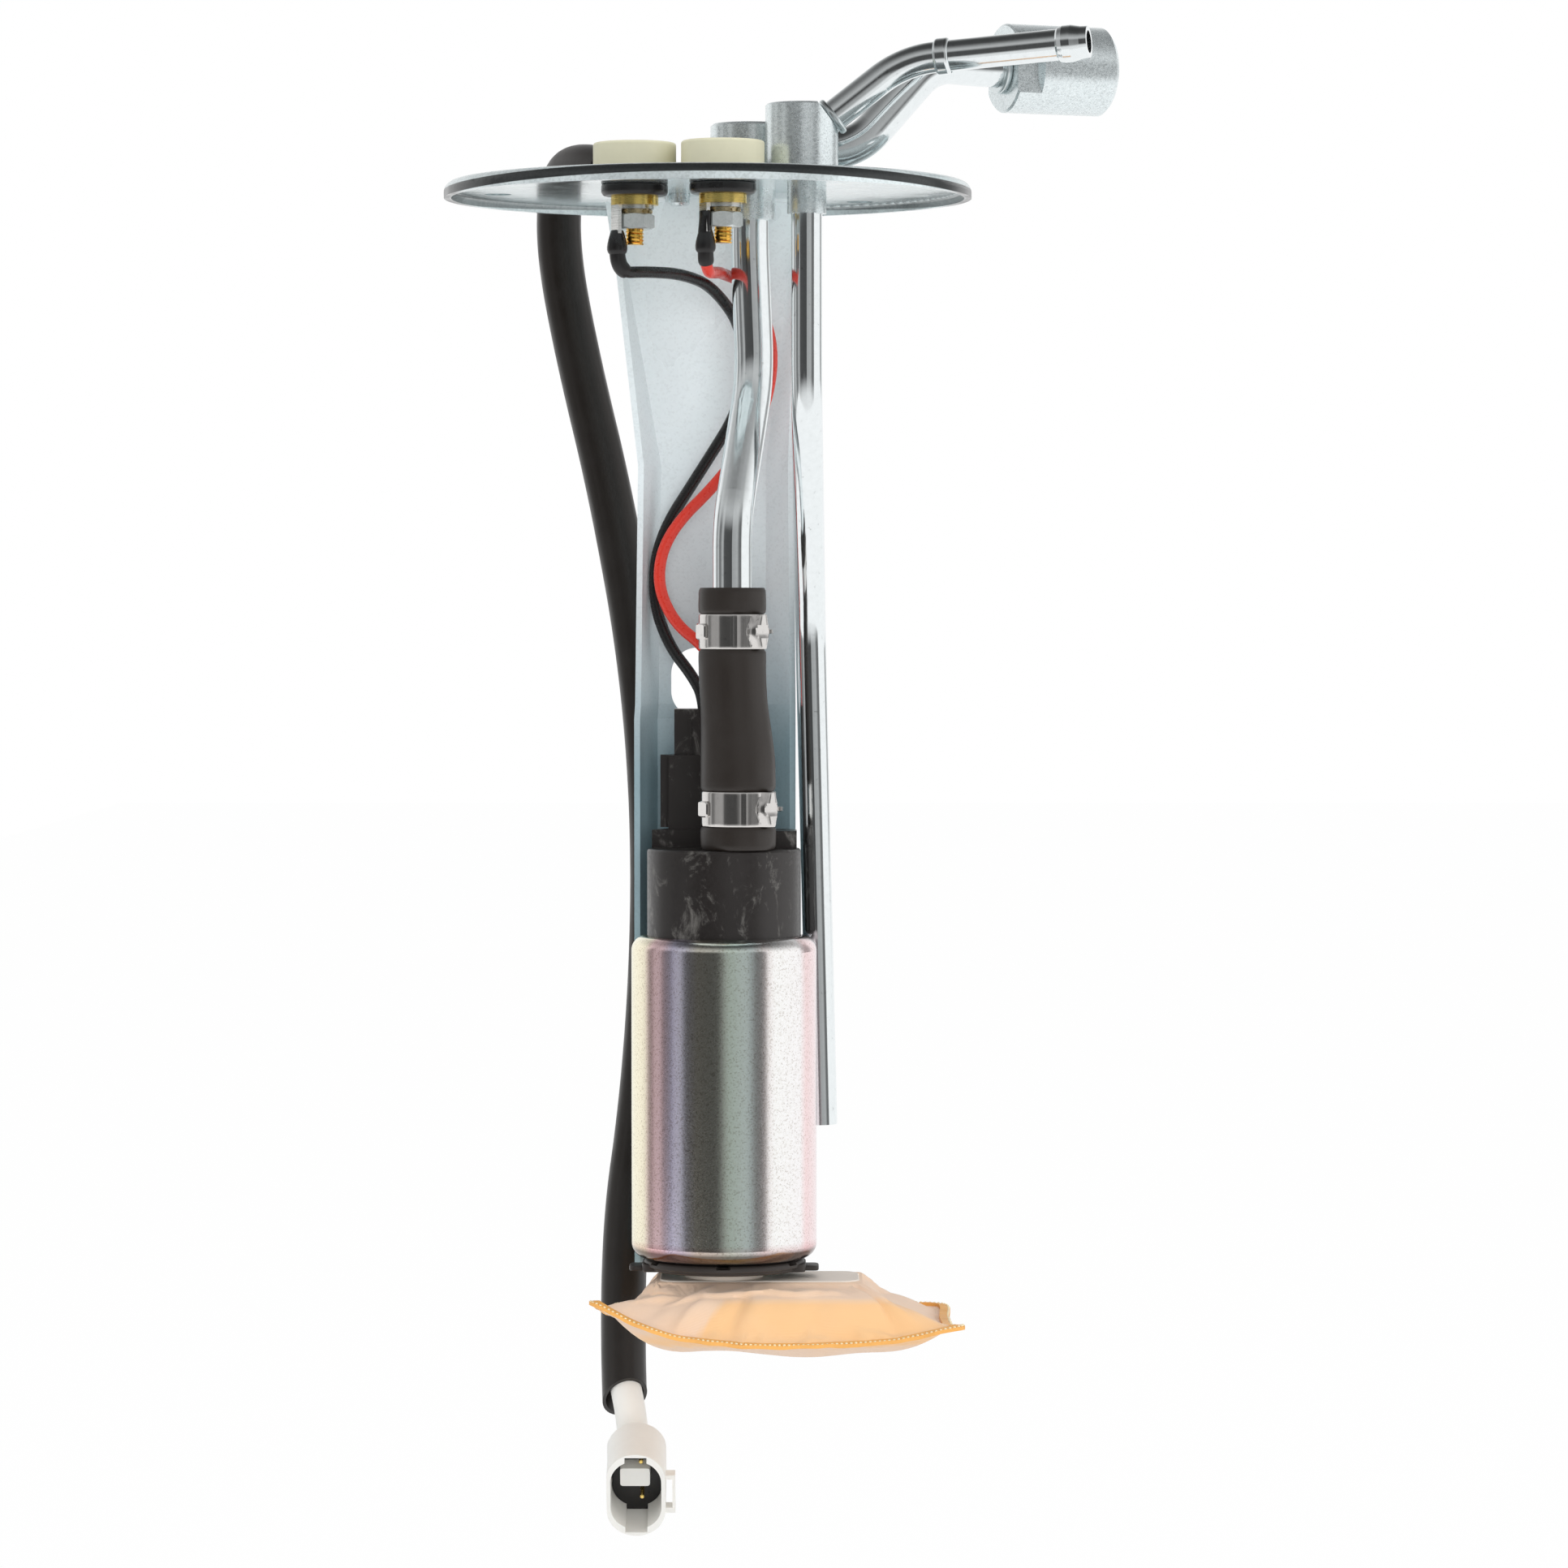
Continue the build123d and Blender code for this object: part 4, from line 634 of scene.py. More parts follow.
def woven_mesh(name, flat, steep):
    """Fine woven strainer cloth: paler seen flat, warmer where it stands on edge, with painted
    light shining through it there.
    """
    f = Finish(name, Sheen_Weight=0.2, Specular_IOR_Level=0.3)
    where = f.place(source="UV")
    warp, weft = (
        f.node(
            "ShaderNodeTexWave",
            {"Scale": scale, "Distortion": 0.8, "Detail": 1.0, "Vector": where},
            wave_type="BANDS", bands_direction=way,
        ).outputs["Fac"]
        for way, scale in (("X", 34.0), ("Y", 20.0))
    )
    weave = f.math("ADD", f.math("MULTIPLY", warp, 0.35), weft)
    # painted light: the attribute marks where light shining through the cloth is painted in
    warmth = f.node("ShaderNodeAttribute", attribute_name="warmth").outputs["Fac"]
    patches = f.noise(f.place(), 55.0, 4.0, 0.55)
    amount = f.math("ADD", warmth, f.spread(patches, -0.14, 0.14, 0.3, 0.7))
    between = tuple((a + b) / 2 for a, b in zip(flat, steep))
    tone = f.ramp(amount, [(0.0, flat), (0.35, between), (0.9, steep)])
    tone = f.blend(f.spread(weave, 0.0, 0.14, 0.0, 1.35), tone, shade(steep, 0.86))
    return f.done(tone, 0.66, weave, 0.22, 0.00008)


# Each finish: its maker, its colour or the setting that holds it, and what else it takes.
FINISH_TABLE = {
    "zinc_sheet": (plated_sheet, "plating.zinc", (0.14, 0.26), 0.22, FLANGE_RIM_PAINTED_REFLECTION),
    "hanger_zinc": (satin_zinc, "plating.hanger"),
    "cast_plated": (cast_fitting, "plating.casting"),
    "bright_tube": (drawn_tube, "plating.tube"),
    "braze": (turned_metal, (0.74, 0.80, 0.81), (0.22, 0.4), 900.0, 0.1),
    "spring_steel": (turned_metal, (0.56, 0.46, 0.28), (0.2, 0.34)),
    "zinc_nut": (plated_sheet, (0.74, 0.78, 0.77), (0.14, 0.24), 0.12),
    "stainless": (drawn_tube, (0.70, 0.68, 0.66), (0.12, 0.22)),
    "yellow_chromate": (passivated_can, "plating.can"),
    "black_plastic": (moulding, "moulding.black", (0.28, 0.42), 0.15, 1400.0, (0.20, 0.19, 0.175)),
    "ivory_plastic": (moulding, "moulding.ivory", (0.46, 0.58), 0.05),
    "white_plastic": (moulding, "moulding.white", (0.40, 0.52), 0.03),
    "cream_plastic": (moulding, "filter.plate_colour", (0.5, 0.6), 0.04),
    "amber_mesh": (woven_mesh, "filter.mesh_colour", "filter.front_colour"),
    "seam_mesh": (moulding, (0.92, 0.45, 0.11), (0.4, 0.55), 0.12, 900.0),
    "weld_line": (moulding, (0.97, 0.80, 0.52), (0.35, 0.5), 0.12),
    "black_rubber": (rubber, "moulding.rubber", (0.22, 0.42), 0.12),
    "cushion_rubber": (rubber, (0.036, 0.030, 0.027), (0.40, 0.55), 0.3),
    "hose_rubber": (rubber, "moulding.hose", (0.40, 0.54), 0.3),
    "black_sleeve": (rubber, "harness.sleeve_colour", (0.30, 0.42), 0.15),
    "black_wire": (moulding, "harness.ground_colour", (0.22, 0.34), 0.1),
    "red_wire": (moulding, "harness.supply_colour", (0.24, 0.36), 0.08),
    "plated_brass": (turned_metal, "plating.brass", (0.16, 0.3)),
    "silver_lug": (turned_metal, (0.66, 0.66, 0.64), (0.2, 0.34)),
    "orange_brass": (turned_metal, "plating.stud", (0.16, 0.28)),
    "copper": (turned_metal, (0.62, 0.26, 0.14), (0.25, 0.4), 2600.0),
    "lamination": (turned_metal, (0.26, 0.26, 0.27), (0.35, 0.5), 2000.0),
    "ferrite": (moulding, (0.045, 0.045, 0.047), (0.5, 0.65), 0.15),
    "carbon": (moulding, (0.02, 0.02, 0.021), (0.35, 0.5), 0.2),
    "bearing_bronze": (turned_metal, (0.40, 0.24, 0.11), (0.35, 0.5), 1800.0),
}
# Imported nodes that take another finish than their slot's own.
SPECIAL_FINISHES = {
    "hanger_bracket": "hanger_zinc",
    "terminal_nuts": "zinc_nut",
    "ring_lug_ground": "silver_lug",
    "ring_lug_supply": "silver_lug",
}
FINISHES = {}  # filled by the finishes step


def look_up(value):
    """A value as it stands, or the colour that a setting such as plating.zinc holds."""
    if not isinstance(value, str):
        return value
    group, name = value.split(".")
    return tuple(getattr(getattr(bpy.context.scene, "fuelpump_" + group), name))


# ---- operators -------------------------------------------------------------------------
class FUELPUMP_OT_finishes(bpy.types.Operator):
    """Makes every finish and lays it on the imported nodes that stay"""

    bl_idname = "fuelpump.finishes"
    bl_label = "Finishes"

    def execute(self, context):
        for name, (maker, *values) in FINISH_TABLE.items():
            FINISHES[name] = maker(name, *[look_up(value) for value in values])
        for entry in frame["record"]["subparts"]:
            node = entry["node"]
            if node in frame["nodes"]:
                finish = FINISHES[SPECIAL_FINISHES.get(node, entry["material_slot"])]
                packed = frame["nodes"][node]
                if not packed.material_slots:
                    packed.data.materials.append(finish)
                for slot in packed.material_slots:
                    slot.material = finish
        return {"FINISHED"}


class FUELPUMP_OT_harness(bpy.types.Operator):
    """Builds the black sleeve with its open mouth and slanted end, and the wires out of it"""

    bl_idname = "fuelpump.harness"
    bl_label = "Harness"

    sides = 40
    cut_rings = 24  # rings near the end that the slanted cut can reach

    def execute(self, context):
        settings = context.scene.fuelpump_harness
        outer = settings.sleeve_diameter / 2
        inner = outer - settings.sleeve_wall
        points = even_points(points_along(SLEEVE_LINE), 1.6 * MM)
        cut_way = SLEEVE_CUT_WAY.normalized()
        skins = [[], []]
        for centre, side, up in ring_frames(points):
            for skin, radius in zip(skins, (outer, inner)):
                skin.append([
                    centre + side * (radius * cos(turn)) + up * (radius * sin(turn))
                    for turn in turns(self.sides)
                ])
        ahead = (points[-1] - points[-12]).normalized()
        for row in skins[0][-self.cut_rings:] + skins[1][-self.cut_rings:]:
            for j, spot in enumerate(row):
                over = (spot - SLEEVE_CUT).dot(cut_way)
                if over > 0:
                    row[j] = spot - ahead * (over / ahead.dot(cut_way))
        vertices, faces = shell(skins[0])
        half = len(vertices)
        vertices += shell(skins[1])[0]
        faces += [tuple(i + half for i in reversed(face)) for face in faces]
        for first in (0, half - self.sides):
            for j in range(self.sides):
                a, b = first + j, first + (j + 1) % self.sides
                faces.append((a, b, b + half, a + half) if first else (b, a, a + half, b + half))
        vertices = [spot / MM for spot in vertices]
        sleeve = piece_from("wire_sleeve", vertices, faces, "black_sleeve", 50.0)
        seated(sleeve, "black_sleeve", "harness_sleeve")
        path = [p for p in points if (p - SLEEVE_CUT).dot(cut_way) < 0.002]
        tuple(points[0])
        line_length(path)
        for name, line in zip(("tail_wire_one", "tail_wire_two"), TAIL_LINES):
            wire(name, line, settings.tail_diameter, "black_wire", "harness_tails")
        return {"FINISHED"}


def wire(name, line, diameter, finish, node):
    """A covered wire that starts and ends in the object."""
    curve = nurbs_line(name, line, diameter / 2)
    curve.materials.append(FINISHES[finish])
    piece = linked(name, curve)
    seated(piece, finish, node)
    line_length(points_along(line))


class FUELPUMP_OT_leads(bpy.types.Operator):
    """Runs the black and the red lead from the terminals to the pump's plug"""

    bl_idname = "fuelpump.leads"
    bl_label = "Pump leads"

    def execute(self, context):
        across = context.scene.fuelpump_harness.lead_diameter
        wire("ground_lead", GROUND_LINE, across, "black_wire", "lead_black")
        wire("supply_lead", SUPPLY_LINE, across, "red_wire", "lead_red")
        return {"FINISHED"}


# Round the bag from its front left tip: the mouth at the plate, the shoulder where the cloth
# turns down, and the seam, in millimetres.
BAG_STATIONS = (
    ((-10.3, -12.0), (-10.5, -14.0, -225.9), (-22.4, -24.2, -225.6)),
    ((-6.0, -12.1), (-5.0, -17.2, -225.3), (-14.8, -26.6, -229.4)),
    ((0.0, -12.1), (0.6, -19.8, -224.9), (-6.0, -27.2, -232.4)),
    ((10.0, -12.1), (12.0, -20.3, -224.7), (9.0, -27.2, -234.0)),
    ((20.0, -12.1), (23.5, -20.3, -224.6), (22.0, -27.0, -234.0)),
    ((28.6, -12.1), (34.6, -20.0, -224.8), (37.6, -26.8, -233.1)),
    ((31.5, -11.6), (36.4, -16.8, -226.0), (50.6, -25.3, -230.4)),
    ((31.6, -6.0), (36.6, -9.0, -226.4), (48.8, -14.0, -232.1)),
    ((31.6, 0.0), (36.2, 3.6, -226.8), (48.4, 6.0, -232.8)),
    ((31.3, 5.8), (34.4, 13.4, -227.0), (48.2, 20.6, -231.9)),
    ((22.0, 6.1), (25.0, 17.4, -225.9), (30.0, 22.8, -232.0)),
    ((10.6, 6.1), (11.4, 17.8, -225.9), (14.0, 23.0, -233.0)),
    ((0.0, 6.1), (-2.0, 17.4, -225.9), (-4.0, 22.8, -232.2)),
    ((-10.1, 5.8), (-11.6, 12.8, -226.8), (-18.4, 20.8, -231.9)),
    ((-10.4, 0.0), (-12.8, 3.0, -226.8), (-18.6, 6.0, -231.4)),
    ((-10.4, -6.0), (-13.8, -6.0, -226.2), (-19.2, -10.0, -229.6)),
)
BAG_MOUTH_Z, BAG_BELLY_Z, BAG_LOWEST = -223.0, -238.3, -0.2396
BAG_MIDDLE = Vector((14.5, -2.0, 0))
SHOULDER_SHARE = 0.45  # how far down the upper sheet its shoulder lies
# Folds in the upper sheet: the place by station, the push in millimetres and the width.
BAG_FOLDS = (
    (1.95, 1.5, 0.20), (2.62, -1.1, 0.11), (2.9, 0.5, 0.2), (5.2, -1.2, 0.12), (3.9, -0.4, 0.2),
    (0.9, -0.9, 0.25), (10.4, -0.7, 0.2), (14.2, -0.8, 0.2), (7.6, -0.7, 0.25), (5.5, 0.6, 0.15),
)


def bag_loop(which, count, softening):
    """One line round the bag through its stations, its corners softened."""
    stations = [s[which] if which else (*s[0], BAG_MOUTH_Z) for s in BAG_STATIONS]
    number = len(stations)
    loop = []
    for k in range(count):
        at = k * number / count
        i, t = int(at), at - int(at)
        p0, p1, p2, p3 = (Vector(stations[(i + j) % number]) for j in (-1, 0, 1, 2))
        straight = p1.lerp(p2, t)
        curved = 0.5 * (
            2 * p1 + (p2 - p0) * t + (2 * p0 - 5 * p1 + 4 * p2 - p3) * t**2
            + (3 * p1 - p0 - 3 * p2 + p3) * t**3
        )
        loop.append(straight.lerp(curved, 0.45))
    for _ in range(softening):
        loop = [(loop[k - 1] + 2 * loop[k] + loop[(k + 1) % count]) / 4 for k in range(count)]
    return loop


class FUELPUMP_OT_filter(bpy.types.Operator):
    """Sews the strainer bag from two sheets, fills it and welds its seam"""

    bl_idname = "fuelpump.filter"
    bl_label = "Filter bag"

    around, upper_rows, lower_rows = 256, 30, 22
    grow = 10.0  # the cloth is filled at this scale, which the solver copes with better
    fill_frames = 16
    most = 0.0009  # the furthest that filling moves a point, in metres

    def execute(self, context):
        settings = context.scene.fuelpump_filter
        loops = [bag_loop(which, self.around, soft) for which, soft in ((0, 3), (1, 14), (2, 3))]
        rows, held = self.rest_rows(*loops)
        vertices, faces = shell(rows)
        last = len(vertices) - self.around
        faces += [tuple(range(self.around)), tuple(range(last, len(vertices)))[::-1]]
        mesh = bpy.data.meshes.new("filter_bag")
        mesh.from_pydata([v * MM for v in vertices], [], faces)
        bag = linked("filter_bag", mesh)
        self.fill(bag, held, settings.swell)
        self.crease(mesh)
        self.unwrap(mesh)
        self.tint(mesh)
        finished(bag, "amber_mesh", 62.0)
        seated(bag, "amber_mesh", "filter_sock")
        self.welds(loops[2], settings)
        return {"FINISHED"}

    def rest_rows(self, mouth, shoulder, seam):
        """Rows of points from the mouth over the shoulder to the seam and in under the belly,
        and the indices of the points that stay put when the bag is filled."""
        rows = []
        for r in range(self.upper_rows + 1):
            s = r / self.upper_rows
            row = []
            for k in range(self.around):
                if s < SHOULDER_SHARE:
                    t = s / SHOULDER_SHARE
                    spot = mouth[k].lerp(shoulder[k], t)
                    spot.z = mouth[k].z + (shoulder[k].z - mouth[k].z) * t**1.7
                else:
                    t = (s - SHOULDER_SHARE) / (1 - SHOULDER_SHARE)
                    spot = shoulder[k].lerp(seam[k], t)
                    spot.z += 1.5 * sin(pi * t) * (1 - t)
                row.append(spot)
            rows.append(row)
        for r in range(1, self.lower_rows + 1):
            s = 1 - 0.97 * r / self.lower_rows
            row = []
            for k in range(self.around):
                spot = BAG_MIDDLE.lerp(seam[k], s)
                wave = 0.45 * sin(spot.x * 0.21 + 0.7) + 0.3 * sin(spot.y * 0.30 + spot.x * 0.08)
                sag = 1 - max(0.0, (s - 0.42) / 0.58) ** 2.2
                spot.z = seam[k].z + (BAG_BELLY_Z + wave - seam[k].z) * sag
                row.append(spot)
            rows.append(row)
        seam_start = self.upper_rows * self.around
        held = [*range(self.around), *range(seam_start, seam_start + self.around)]
        return rows, held

    def fill(self, bag, held, swell):
        """Cloth with pressure, held at the plate and the seam; each move is capped."""
        bag.vertex_groups.new(name="held").add(held, 1.0, "REPLACE")
        vertices = bag.data.vertices
        start = [v.co.copy() for v in vertices]
        for vertex in vertices:
            vertex.co *= self.grow
        cloth = bag.modifiers.new("fill", "CLOTH")
        for key, value in {
            "quality": 5,
            "mass": 0.15,
            "tension_stiffness": 10.0,
            "compression_stiffness": 3.0,
            "bending_stiffness": 0.3,
            "shrink_min": -0.03,
            "use_pressure": True,
            "uniform_pressure_force": swell,
            "vertex_group_mass": "held",
        }.items():
            setattr(cloth.settings, key, value)
        cloth.settings.effector_weights.gravity = 0.0
        cloth.point_cache.frame_start, cloth.point_cache.frame_end = 1, self.fill_frames
        scene = bpy.context.scene
        for step in range(1, self.fill_frames + 1):
            scene.frame_set(step)
        moved = bag.evaluated_get(bpy.context.evaluated_depsgraph_get()).to_mesh()
        ends = [v.co.copy() / self.grow for v in moved.vertices]
        bag.modifiers.remove(cloth)
        scene.frame_set(1)
        for vertex, a, b in zip(vertices, start, ends):
            way = b - a
            if way.length > self.most:
                way = way.normalized() * self.most
            vertex.co = a + way

    def crease(self, mesh):
        """Folds that run from the shoulder's corners to the seam, and soft dents in the belly."""
        number = len(BAG_STATIONS)
        folds_start = SHOULDER_SHARE * self.upper_rows * 0.4
        for i, vertex in enumerate(mesh.vertices):
            row, k = divmod(i, self.around)
            at = k * number / self.around
            if row <= self.upper_rows:
                x, y = vertex.co.x - BAG_MIDDLE.x * MM, vertex.co.y - BAG_MIDDLE.y * MM
                out = Vector((x, y, 0)).normalized()
                reach = sin(pi * min(1.0, row / self.upper_rows)) ** 0.8
                below = max(0.0, (row - folds_start) / (self.upper_rows - folds_start))
                push = 0.0
                for where, depth, width in BAG_FOLDS:
                    away = (at - where + number / 2) % number - number / 2
                    push += depth * 2.718 ** (-((away / width) ** 2)) * reach * (0.3 + below)
                ripple = 0.22 * noise.noise(vertex.co / MM * 0.13) * reach
                vertex.co += (out * push + Vector((0, 0, 0.5 * push + ripple))) * MM
            else:
                dent = 0.5 * noise.noise(vertex.co / MM * 0.09 + Vector((4.0, 1.0, 0.0)))
                vertex.co.z += dent * MM * min(1.0, (row - self.upper_rows) / 5)
            vertex.co.z = max(vertex.co.z, BAG_LOWEST)

    @staticmethod
    def unwrap(mesh):
        """Weave coordinates: a plan view of the sheets."""
        layer = mesh.uv_layers.new(name="weave")
        for loop in mesh.loops:
            x, y, z = mesh.vertices[loop.vertex_index].co / MM
            layer.data[loop.index].uv = (x * 0.05, (y + 0.9 * z) * 0.05)

    @staticmethod
    def tint(mesh):
        """Painted light shining through the cloth: how warm it looks, most on the steep front,
        least on the top and the belly.
        """
        # painted light: most on the steep front facet, less where the cloth lies flat, little on
        # the belly
        layer = mesh.attributes.new("warmth", "FLOAT", "POINT")
        for vertex, item in zip(mesh.vertices, layer.data):
            x, y, z = vertex.co / MM
            steep = 1 - min(1.0, abs(vertex.normal.z) * 1.15) ** 2
            ends = max(0.0, 4.0 - x) / 6.0, max(0.0, x - 36.0) / 13.0
            ridge = -225.2 - 7.0 * min(1.0, ends[0]) ** 1.3 - 4.6 * min(1.0, ends[1]) ** 1.2
            front = min(1.0, max(0.0, (ridge - z) / 1.3)) if y < -12.0 else 0.0
            above = 1.0 if z > -234.8 else 0.12
            item.value = above * (0.18 * steep + 0.82 * front)

    @staticmethod
    def welds(seam, settings):
        """The flat margin outside the seam, with its row of pressed dots."""
        margin = settings.seam_width / MM
        outs = []
        for k, spot in enumerate(seam):
            along = (seam[(k + 1) % len(seam)] - seam[k - 1]).normalized()
            outs.append(along.cross(Vector((0, 0, 1))).normalized())
        rows = []
        for inset, rise in (
            (0.6, 0.62), (-0.3 * margin, 0.56), (-margin, 0.38),
            (-margin, -0.34), (-0.3 * margin, -0.44), (0.6, -0.48),
        ):
            row = []
            for spot, out in zip(seam, outs):
                wave = 0.22 * noise.noise(spot * 0.35) * (inset < 0)
                row.append(spot - out * inset + Vector((0, 0, rise + wave)))
            rows.append(row)
        strip = piece_from("filter_margin", *shell(rows, "join"), "seam_mesh", 60.0)
        seated(strip, "amber_mesh")
        line = [spot + out * 1.15 + Vector((0, 0, 0.42)) for spot, out in zip(seam, outs)]
        dots = dotted("filter_weld_dots", line, settings.weld_dots, 0.30, "weld_line")
        seated(dots, "amber_mesh")


# ---- geometry node trees ---------------------------------------------------------------
class Tree(Nodes):
    """One geometry node tree; the kind of each named input follows from its start value."""

    kinds = {int: "NodeSocketInt", float: "NodeSocketFloat", tuple: "NodeSocketVector"}

    def __init__(self, name, on_mesh=False, **starts):
        super().__init__(bpy.data.node_groups.new(name, "GeometryNodeTree"))
        self.keys = {}
        self.socket("Geometry", "NodeSocketGeometry", "OUTPUT")
        if on_mesh:
            self.socket("Geometry", "NodeSocketGeometry")
        for key, value in starts.items():
            self.socket(key, self.kinds[type(value)]).default_value = value
        self.socket("Material", "NodeSocketMaterial")
        self.source = self.node("NodeGroupInput")
        self.sink = self.node("NodeGroupOutput")

    def socket(self, name, kind, way="INPUT"):
        made = self.tree.interface.new_socket(name, in_out=way, socket_type=kind)
        if way == "INPUT":
            self.keys[name] = made.identifier
        return made

    def given(self, *names):
        return [self.source.outputs[name] for name in names]

    def close(self, geometry):
        """Realises the instances, sets the material and ends the tree."""
        real = self.node("GeometryNodeRealizeInstances", {"Geometry": geometry})
        sockets = {"Geometry": real.outputs["Geometry"], "Material": self.given("Material")[0]}
        paint = self.node("GeometryNodeSetMaterial", sockets)
        self.link(paint.outputs["Geometry"], self.sink.inputs[0])
        return self


def grown(name, tree, values, finish, smooth, matrix=Matrix(), mesh=None):
    """A plain mesh piece from a tree and its input values, moved into place by a matrix."""
    host = linked(name + "_host", mesh or bpy.data.meshes.new(name + "_host"))
    modifier = host.modifiers.new("grow", "NODES")
    modifier.node_group = tree.tree
    for key, value in {**values, "Material": FINISHES[finish]}.items():
        modifier[tree.keys[key]] = value
    shown = host.evaluated_get(bpy.context.evaluated_depsgraph_get())
    plain = bpy.data.meshes.new_from_object(shown)
    host.modifiers.clear()
    bpy.data.objects.remove(host)
    plain.name = name
    plain.transform(matrix)
    return finished(linked(name, plain), finish, smooth)


def dotted(name, line, count, size, finish):
    """Small domes spread evenly along a closed line, in millimetres."""
    tree = Tree("dots_along_a_seam", on_mesh=True, Count=100, Size=0.0004)
    geometry, number, radius = tree.given("Geometry", "Count", "Size")
    curve = tree.node("GeometryNodeMeshToCurve", {"Mesh": geometry}).outputs["Curve"]
    spread = tree.node("GeometryNodeCurveToPoints", {"Curve": curve, "Count": number}, mode="COUNT")
    dot = tree.node("GeometryNodeMeshUVSphere", {"Segments": 8, "Rings": 5, "Radius": radius})
    put = tree.node("GeometryNodeInstanceOnPoints", {
        "Points": spread.outputs["Points"],
        "Instance": dot.outputs["Mesh"],
        "Scale": (1.0, 1.0, 0.75),
    })
    tree.close(put.outputs["Instances"])
    mesh = bpy.data.meshes.new(name + "_line")
    edges = [(k, (k + 1) % len(line)) for k in range(len(line))]
    mesh.from_pydata([Vector(v) * MM for v in line], edges, [])
    return grown(name, tree, {"Count": count, "Size": size * MM}, finish, 80.0, mesh=mesh)


def thread_tree():
    """A ridge wound round an axis, swept from a spiral."""
    tree = Tree("thread_ridge", Radius=0.002, Pitch=0.0007, Length=0.006, Ridge=0.0003, Steps=40)
    radius, pitch, length, ridge, steps = tree.given("Radius", "Pitch", "Length", "Ridge", "Steps")
    spiral = tree.node("GeometryNodeCurveSpiral", {
        "Rotations": tree.math("DIVIDE", length, pitch),
        "Resolution": steps,
        "Start Radius": radius,
        "End Radius": radius,
        "Height": length,
    })
    section = tree.node("GeometryNodeCurvePrimitiveCircle", mode="RADIUS")
    tree.fill(section.inputs["Resolution"], 4)
    tree.fill(section.inputs["Radius"], ridge)
    sweep = tree.node("GeometryNodeCurveToMesh", {
        "Curve": spiral.outputs["Curve"],
        "Profile Curve": section.outputs["Curve"],
        "Fill Caps": True,
    })
    return tree.close(sweep.outputs["Mesh"])


def toothed_tree():
    """Teeth set round a ring, for the lock washers."""
    tree = Tree("teeth_round_a_ring", Teeth=14, Radius=0.0034, Size=(0.001, 0.0009, 0.0008))
    teeth, radius, size = tree.given("Teeth", "Radius", "Size")
    ring = tree.node("GeometryNodeMeshCircle", {"Vertices": teeth, "Radius": radius})
    spot = tree.node("GeometryNodeInputPosition").outputs["Position"]
    aim = tree.node("FunctionNodeAlignRotationToVector", {"Vector": spot}, axis="X")
    twist = tree.node(
        "FunctionNodeRotateRotation",
        {"Rotation": aim.outputs["Rotation"], "Rotate By": (radians(18), 0.0, 0.0)},
        rotation_space="LOCAL",
    )
    put = tree.node("GeometryNodeInstanceOnPoints", {
        "Points": ring.outputs["Mesh"],
        "Instance": tree.node("GeometryNodeMeshCube", {"Size": size}).outputs["Mesh"],
        "Rotation": twist.outputs["Rotation"],
    })
    return tree.close(put.outputs["Instances"])


